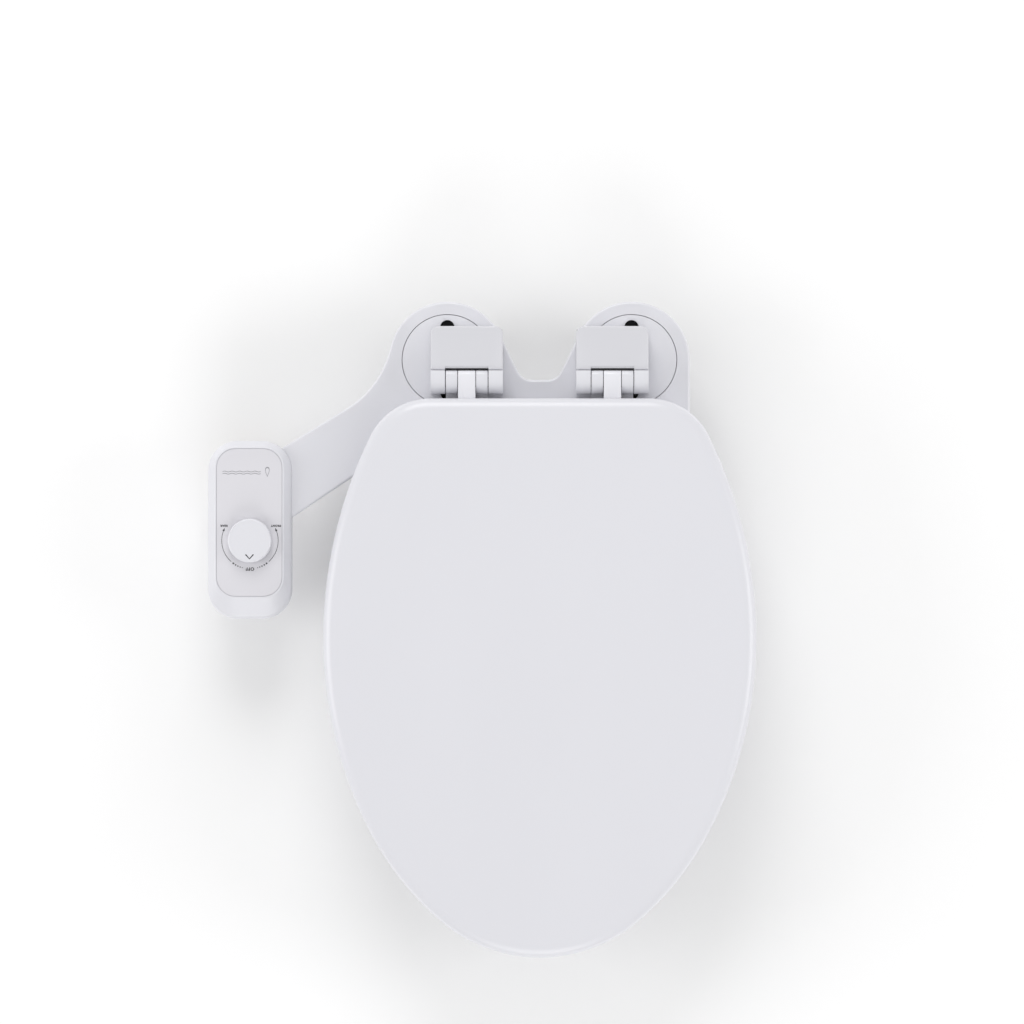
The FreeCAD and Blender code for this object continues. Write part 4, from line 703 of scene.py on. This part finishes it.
def screws():
    """The plate's, the control box's and the lid arms' screws. Their profiles run from bottom to top."""
    cross_head_screws("cover_screws", "plate_screws", PLATE_SCREWS,
                      [(2.2, 0.05), (2.3, 0.12), (1.05, 1.25), (1.05, 5.6), (0.2, 6.2)], 0.05, 1.5, "base")
    cross_head_screws("casing_screws", "control_screws", BOX_SCREWS,
                      [(2.3, -19.2), (2.8, -18.9), (3.0, -18.4), (3.0, -17), (1.3, -17), (1.3, 6),
                       (0.2, 7.2)], -19.2, 1.9, "base")
    cross_head_screws("arm_screws", "lid_arm_screws", LID_SCREWS,
                      [(2.3, 31.9), (2.8, 32.15), (3.0, 32.6), (3.0, 33.3), (1.6, 33.3), (1.6, 41.3),
                       (0.2, 42.2)], 31.9, 1.9, "lid")


# ---- control box, dial and inlet ----

DIAL_X, DIAL_Y = -243.2, -162.0
FACE_TOP = 17.9


def knob():
    """The dial: finely fluted side, a bright chamfer and a slightly dished top."""
    radius, low, high, count, flutes = 18.6, 18.7, 27.0, 240, 60
    side_levels = [(radius - 0.7, low), (radius - 0.15, low + 0.35), (radius, low + 1.0),
                   (radius, high - 1.9), (radius - 0.2, high - 1.3)]
    rings = []
    for i, (r, z) in enumerate(side_levels):
        dip = 0.28 if i in (2, 3) else 0.1
        ring = []
        for k in range(count):
            angle = 2 * math.pi * k / count
            wave = r - dip * (0.5 + 0.5 * math.cos(flutes * angle))
            ring.append((DIAL_X + wave * math.cos(angle), DIAL_Y + wave * math.sin(angle), z))
        rings.append(ring)
    top = [(radius - 0.55, high - 0.75), (radius - 0.85, high - 0.25), (radius - 1.3, high),
           (radius - 1.9, high), (radius - 2.4, high - 0.17), (radius - 4, high - 0.2),
           (radius - 12, high - 0.2), (0.5, high - 0.2)]
    rings += [circle(DIAL_X, DIAL_Y, z, r, count) for r, z in top]
    piece = loft("dial_knob", rings)
    finish_piece(piece, "dial", "white_plastic", stands_for=("control_knob",), angle=28)
    print_pointer(high - 0.22)


def stroke(name, points, width, z, thick=0.06):
    """A flat printed line of even width through (x, y) points, standing just proud of the surface."""
    half = width / 2
    left, right = [], []
    for i, (x, y) in enumerate(points):
        before = Vector(points[max(i - 1, 0)])
        after = Vector(points[min(i + 1, len(points) - 1)])
        along = (after - before).normalized()
        left.append((x - along.y * half, y + along.x * half))
        right.append((x + along.y * half, y - along.x * half))
    outline = left + right[::-1]
    return loft(name, [at_height(outline, z), at_height(outline, z + thick)])


def print_pointer(z):
    """A chevron on the knob that points at the off position."""
    half, back, tip = 3.3, 11.6, 15.3
    points = [(DIAL_X - half, DIAL_Y - back), (DIAL_X, DIAL_Y - tip), (DIAL_X + half, DIAL_Y - back)]
    chevron = stroke("knob_pointer", points, 0.95, z, 0.1)
    finish_piece(chevron, "dial", "white_plastic", material=INK)


def word(text, x, y, height):
    """A short generic dial word that reads from the seat, its top towards the front."""
    name, capital_share = f"word_{text.lower()}", 0.72
    curve = bpy.data.curves.new(name, "FONT")
    curve.body = text
    curve.align_x, curve.align_y = "CENTER", "CENTER"
    curve.size = height / capital_share * MM
    curve.space_character = 1.15
    curve.extrude = 0.03 * MM
    curve.offset = 0.12 * MM
    obj = add_object(name, curve)
    obj.location = (x * MM, y * MM, (FACE_TOP + 0.02) * MM)
    obj.rotation_euler = (0, 0, math.pi)
    bpy.context.view_layer.update()
    graph = bpy.context.evaluated_depsgraph_get()
    mesh = bpy.data.meshes.new_from_object(obj.evaluated_get(graph))
    mesh.transform(obj.matrix_world)
    bpy.data.objects.remove(obj)
    return add_object(name, mesh)


def dial_print():
    """Two arcs with arrowheads, dots that grow away from the off position, and three words."""
    radius, z, ink = 23.7, FACE_TOP - 0.01, 0.06
    arc_start, arc_end, arrow_tip = 42, 110, 116.5
    dots = ((15.8, 0.36), (20.3, 0.46), (25.3, 0.54), (30.5, 0.62), (36.1, 0.74))
    words = (("REAR", -265.0, -149.5, 1.7), ("FRONT", -221.3, -149.5, 1.7), ("OFF", DIAL_X, -185.8, 2.7))
    marks = [word(*spec) for spec in words]

    def at(angle, r=radius):
        """A point at an angle in degrees from the off position, which faces the front."""
        turn = math.radians(angle - 90)
        return DIAL_X + r * math.cos(turn), DIAL_Y + r * math.sin(turn)

    for way in (-1, 1):
        arc = [at(way * (arc_start + (arc_end - arc_start) * i / 40)) for i in range(41)]
        marks.append(stroke("arc", arc, 0.42, z))
        tip = [at(way * arrow_tip), at(way * arc_end, radius + 0.95), at(way * arc_end, radius - 0.95)]
        marks.append(loft("arrow", [at_height(tip, z), at_height(tip, z + ink)]))
        for angle, size in dots:
            x, y = at(way * angle)
            marks.append(loft("dot", [circle(x, y, height, size, 20) for height in (z, z + ink)]))
    finish_piece(joined("dial_marks", marks), "base", "face_plastic", material=INK)


def drop_outline(x, y, size):
    """A water drop whose point faces the front."""
    count = 40
    points = []
    for i in range(count):
        angle = 2 * math.pi * i / count
        belly = math.sin(angle / 2) ** 1.5
        points.append((x + 0.62 * size * math.sin(angle) * belly, y - size * math.cos(angle)))
    return points


def water_symbol():
    """The outline of a plain water drop beside two long ripples, in grey."""
    z, ink = FACE_TOP - 0.01, 0.06
    outer, inner = (drop_outline(-228.6, -104.4, size) for size in (4.3, 3.3))
    marks = [loft("drop", [at_height(outer, z), at_height(outer, z + ink),
                           at_height(inner, z + ink), at_height(inner, z)], closed=True)]
    left, right, steps = -266.2, -234.2, 96
    for y in (-104.0, -105.8):
        wave = []
        for i in range(steps + 1):
            x = left + (right - left) * i / steps
            wave.append((x, y + 0.35 * math.sin(i / steps * 10 * math.pi)))
        marks.append(stroke("ripple", wave, 0.5, z))
    finish_piece(joined("water_symbol", marks), "base", "face_plastic", material=PALE_INK)


def inlet():
    """A brass half-inch inlet: a real pipe thread, a fluted flange and the spigot into the valve."""
    x, y = -243.6, -105.0
    thread_radius, thread_depth, pitch, bore, count = 10.48, 1.0, 1.814, 6.2, 120
    outside = threaded_rod("thread", thread_radius, thread_depth, pitch, -46, -31.9, x, y, 72)
    carve(outside, turned("bore", [(bore, -47), (bore, -30)], x, y))
    rim = ((12.6, -32), (13.0, -31.6), (13.0, -28.5), (12.7, -28.15))
    spigot = ((9, -28.15), (9, -14.2), (bore, -14.2), (bore, -32))
    flange = [fluted(x, y, z, radius, count, 0.03, 5, (2, 3)) for radius, z in rim]
    flange += [circle(x, y, z, radius, count) for radius, z in spigot]
    piece = joined("inlet_thread", [outside, loft("flange", flange, closed=True)])
    finish_piece(piece, "base", "brass", stands_for=("inlet_connector",), angle=38)


def soft_mouldings():
    """The CAD nodes whose shapes stay, with their edges rounded as a mould rounds them."""
    for name in SIDES:
        softened_copy(f"{name}_hinge_base", 0.25, "base", "white_plastic")
        softened_copy(f"{name}_mounting_disc", 0.3, f"{name}_disc", "white_plastic")
        # the lid arms take the lighter arm plastic, which is painted light
        softened_copy(f"{name}_lid_arm", 0.35, "lid", "white_plastic", ARM_PLASTIC_PAINTED_LIGHT)


def return_springs():
    """The nozzles' springs, as copies of their CAD coils."""
    for joint in frame["joints"]:
        if not joint["name"].endswith("_nozzle_slide"):
            continue
        node = joint["name"].replace("slide", "spring")
        mesh = frame["nodes"][node].data.copy()
        coil = add_object(f"{node}_coil", mesh)
        finish_piece(coil, "base", "steel", stands_for=(node,))
        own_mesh(coil)


def paint_cad_nodes():
    """Gives every CAD node the material of its slot; the hinge caps get a darker copy of the white plastic and the
    pins near-black steel, both painted shade.
    """
    painted_shade_materials = {f"{name}_hinge_cap": CAP_PLASTIC_PAINTED_SHADE for name in SIDES}
    painted_shade_materials |= dict.fromkeys(("left_hinge_pin", "right_hinge_pin", "hinge_cap_pins"), PIN_STEEL_PAINTED_SHADE)
    for part in frame["record"]["subparts"]:
        name = part["node"]
        node = frame["nodes"][name]
        node.data.materials.clear()
        node.data.materials.append(painted_shade_materials.get(name, MATERIALS[part["material_slot"]]))


# ---- stage, lights and camera ----

def stage():
    """A wide pale floor just under the lowest piece."""
    reach, thickness = 9000, 20
    level = cad_box[0][2] / MM - 0.2
    floor = box("floor", -reach, reach, -reach, reach, level - thickness, level)
    floor.data.materials.append(floor_surface("floor"))


def area_light(name, place, aim, size, power):
    """A round soft light that faces a point."""
    data = bpy.data.lights.new(name, "AREA")
    data.shape = "DISK"
    data.size = size
    data.energy = power
    light = add_object(name, data)
    light.location = place
    light.rotation_euler = (Vector(aim) - Vector(place)).to_track_quat("-Z", "Y").to_euler()


def lights():
    """A broad light over the tank side, a fill from the front and one on each side."""
    centre = (-0.02, -0.25, 0.0)
    area_light("key", (-0.3, 1.9, 1.5), centre, 1.5, 25)
    area_light("front", (0.0, -2.6, 1.3), centre, 1.8, 22)
    area_light("left", (-2.3, -0.3, 1.1), centre, 1.4, 16)
    area_light("right", (2.3, -0.3, 1.1), centre, 1.4, 17)
    world = bpy.data.worlds.new("studio")
    world.use_nodes = True
    backdrop = world.node_tree.nodes["Background"]
    backdrop.inputs["Color"].default_value = (1.0, 1.0, 1.0, 1.0)
    backdrop.inputs["Strength"].default_value = 0.52
    bpy.context.scene.world = world
    bpy.context.scene.view_settings.view_transform = "Standard"


def camera():
    """Straight down from above, far enough away to look nearly flat."""
    data = bpy.data.cameras.new("camera")
    data.lens = 200
    data.sensor_width = 36
    data.clip_end = 60
    view = add_object("camera", data)
    view.location = (-0.0231, -0.138, 4.796)
    view.rotation_euler = (0, 0, 0)
    bpy.context.scene.camera = view


paint_cad_nodes()
lid()
seat_ring()
bumpers()
mounting_bolts()
cone_washers()
wing_nuts()
screws()
knob()
dial_print()
water_symbol()
inlet()
soft_mouldings()
return_springs()
stage()
lights()
camera()
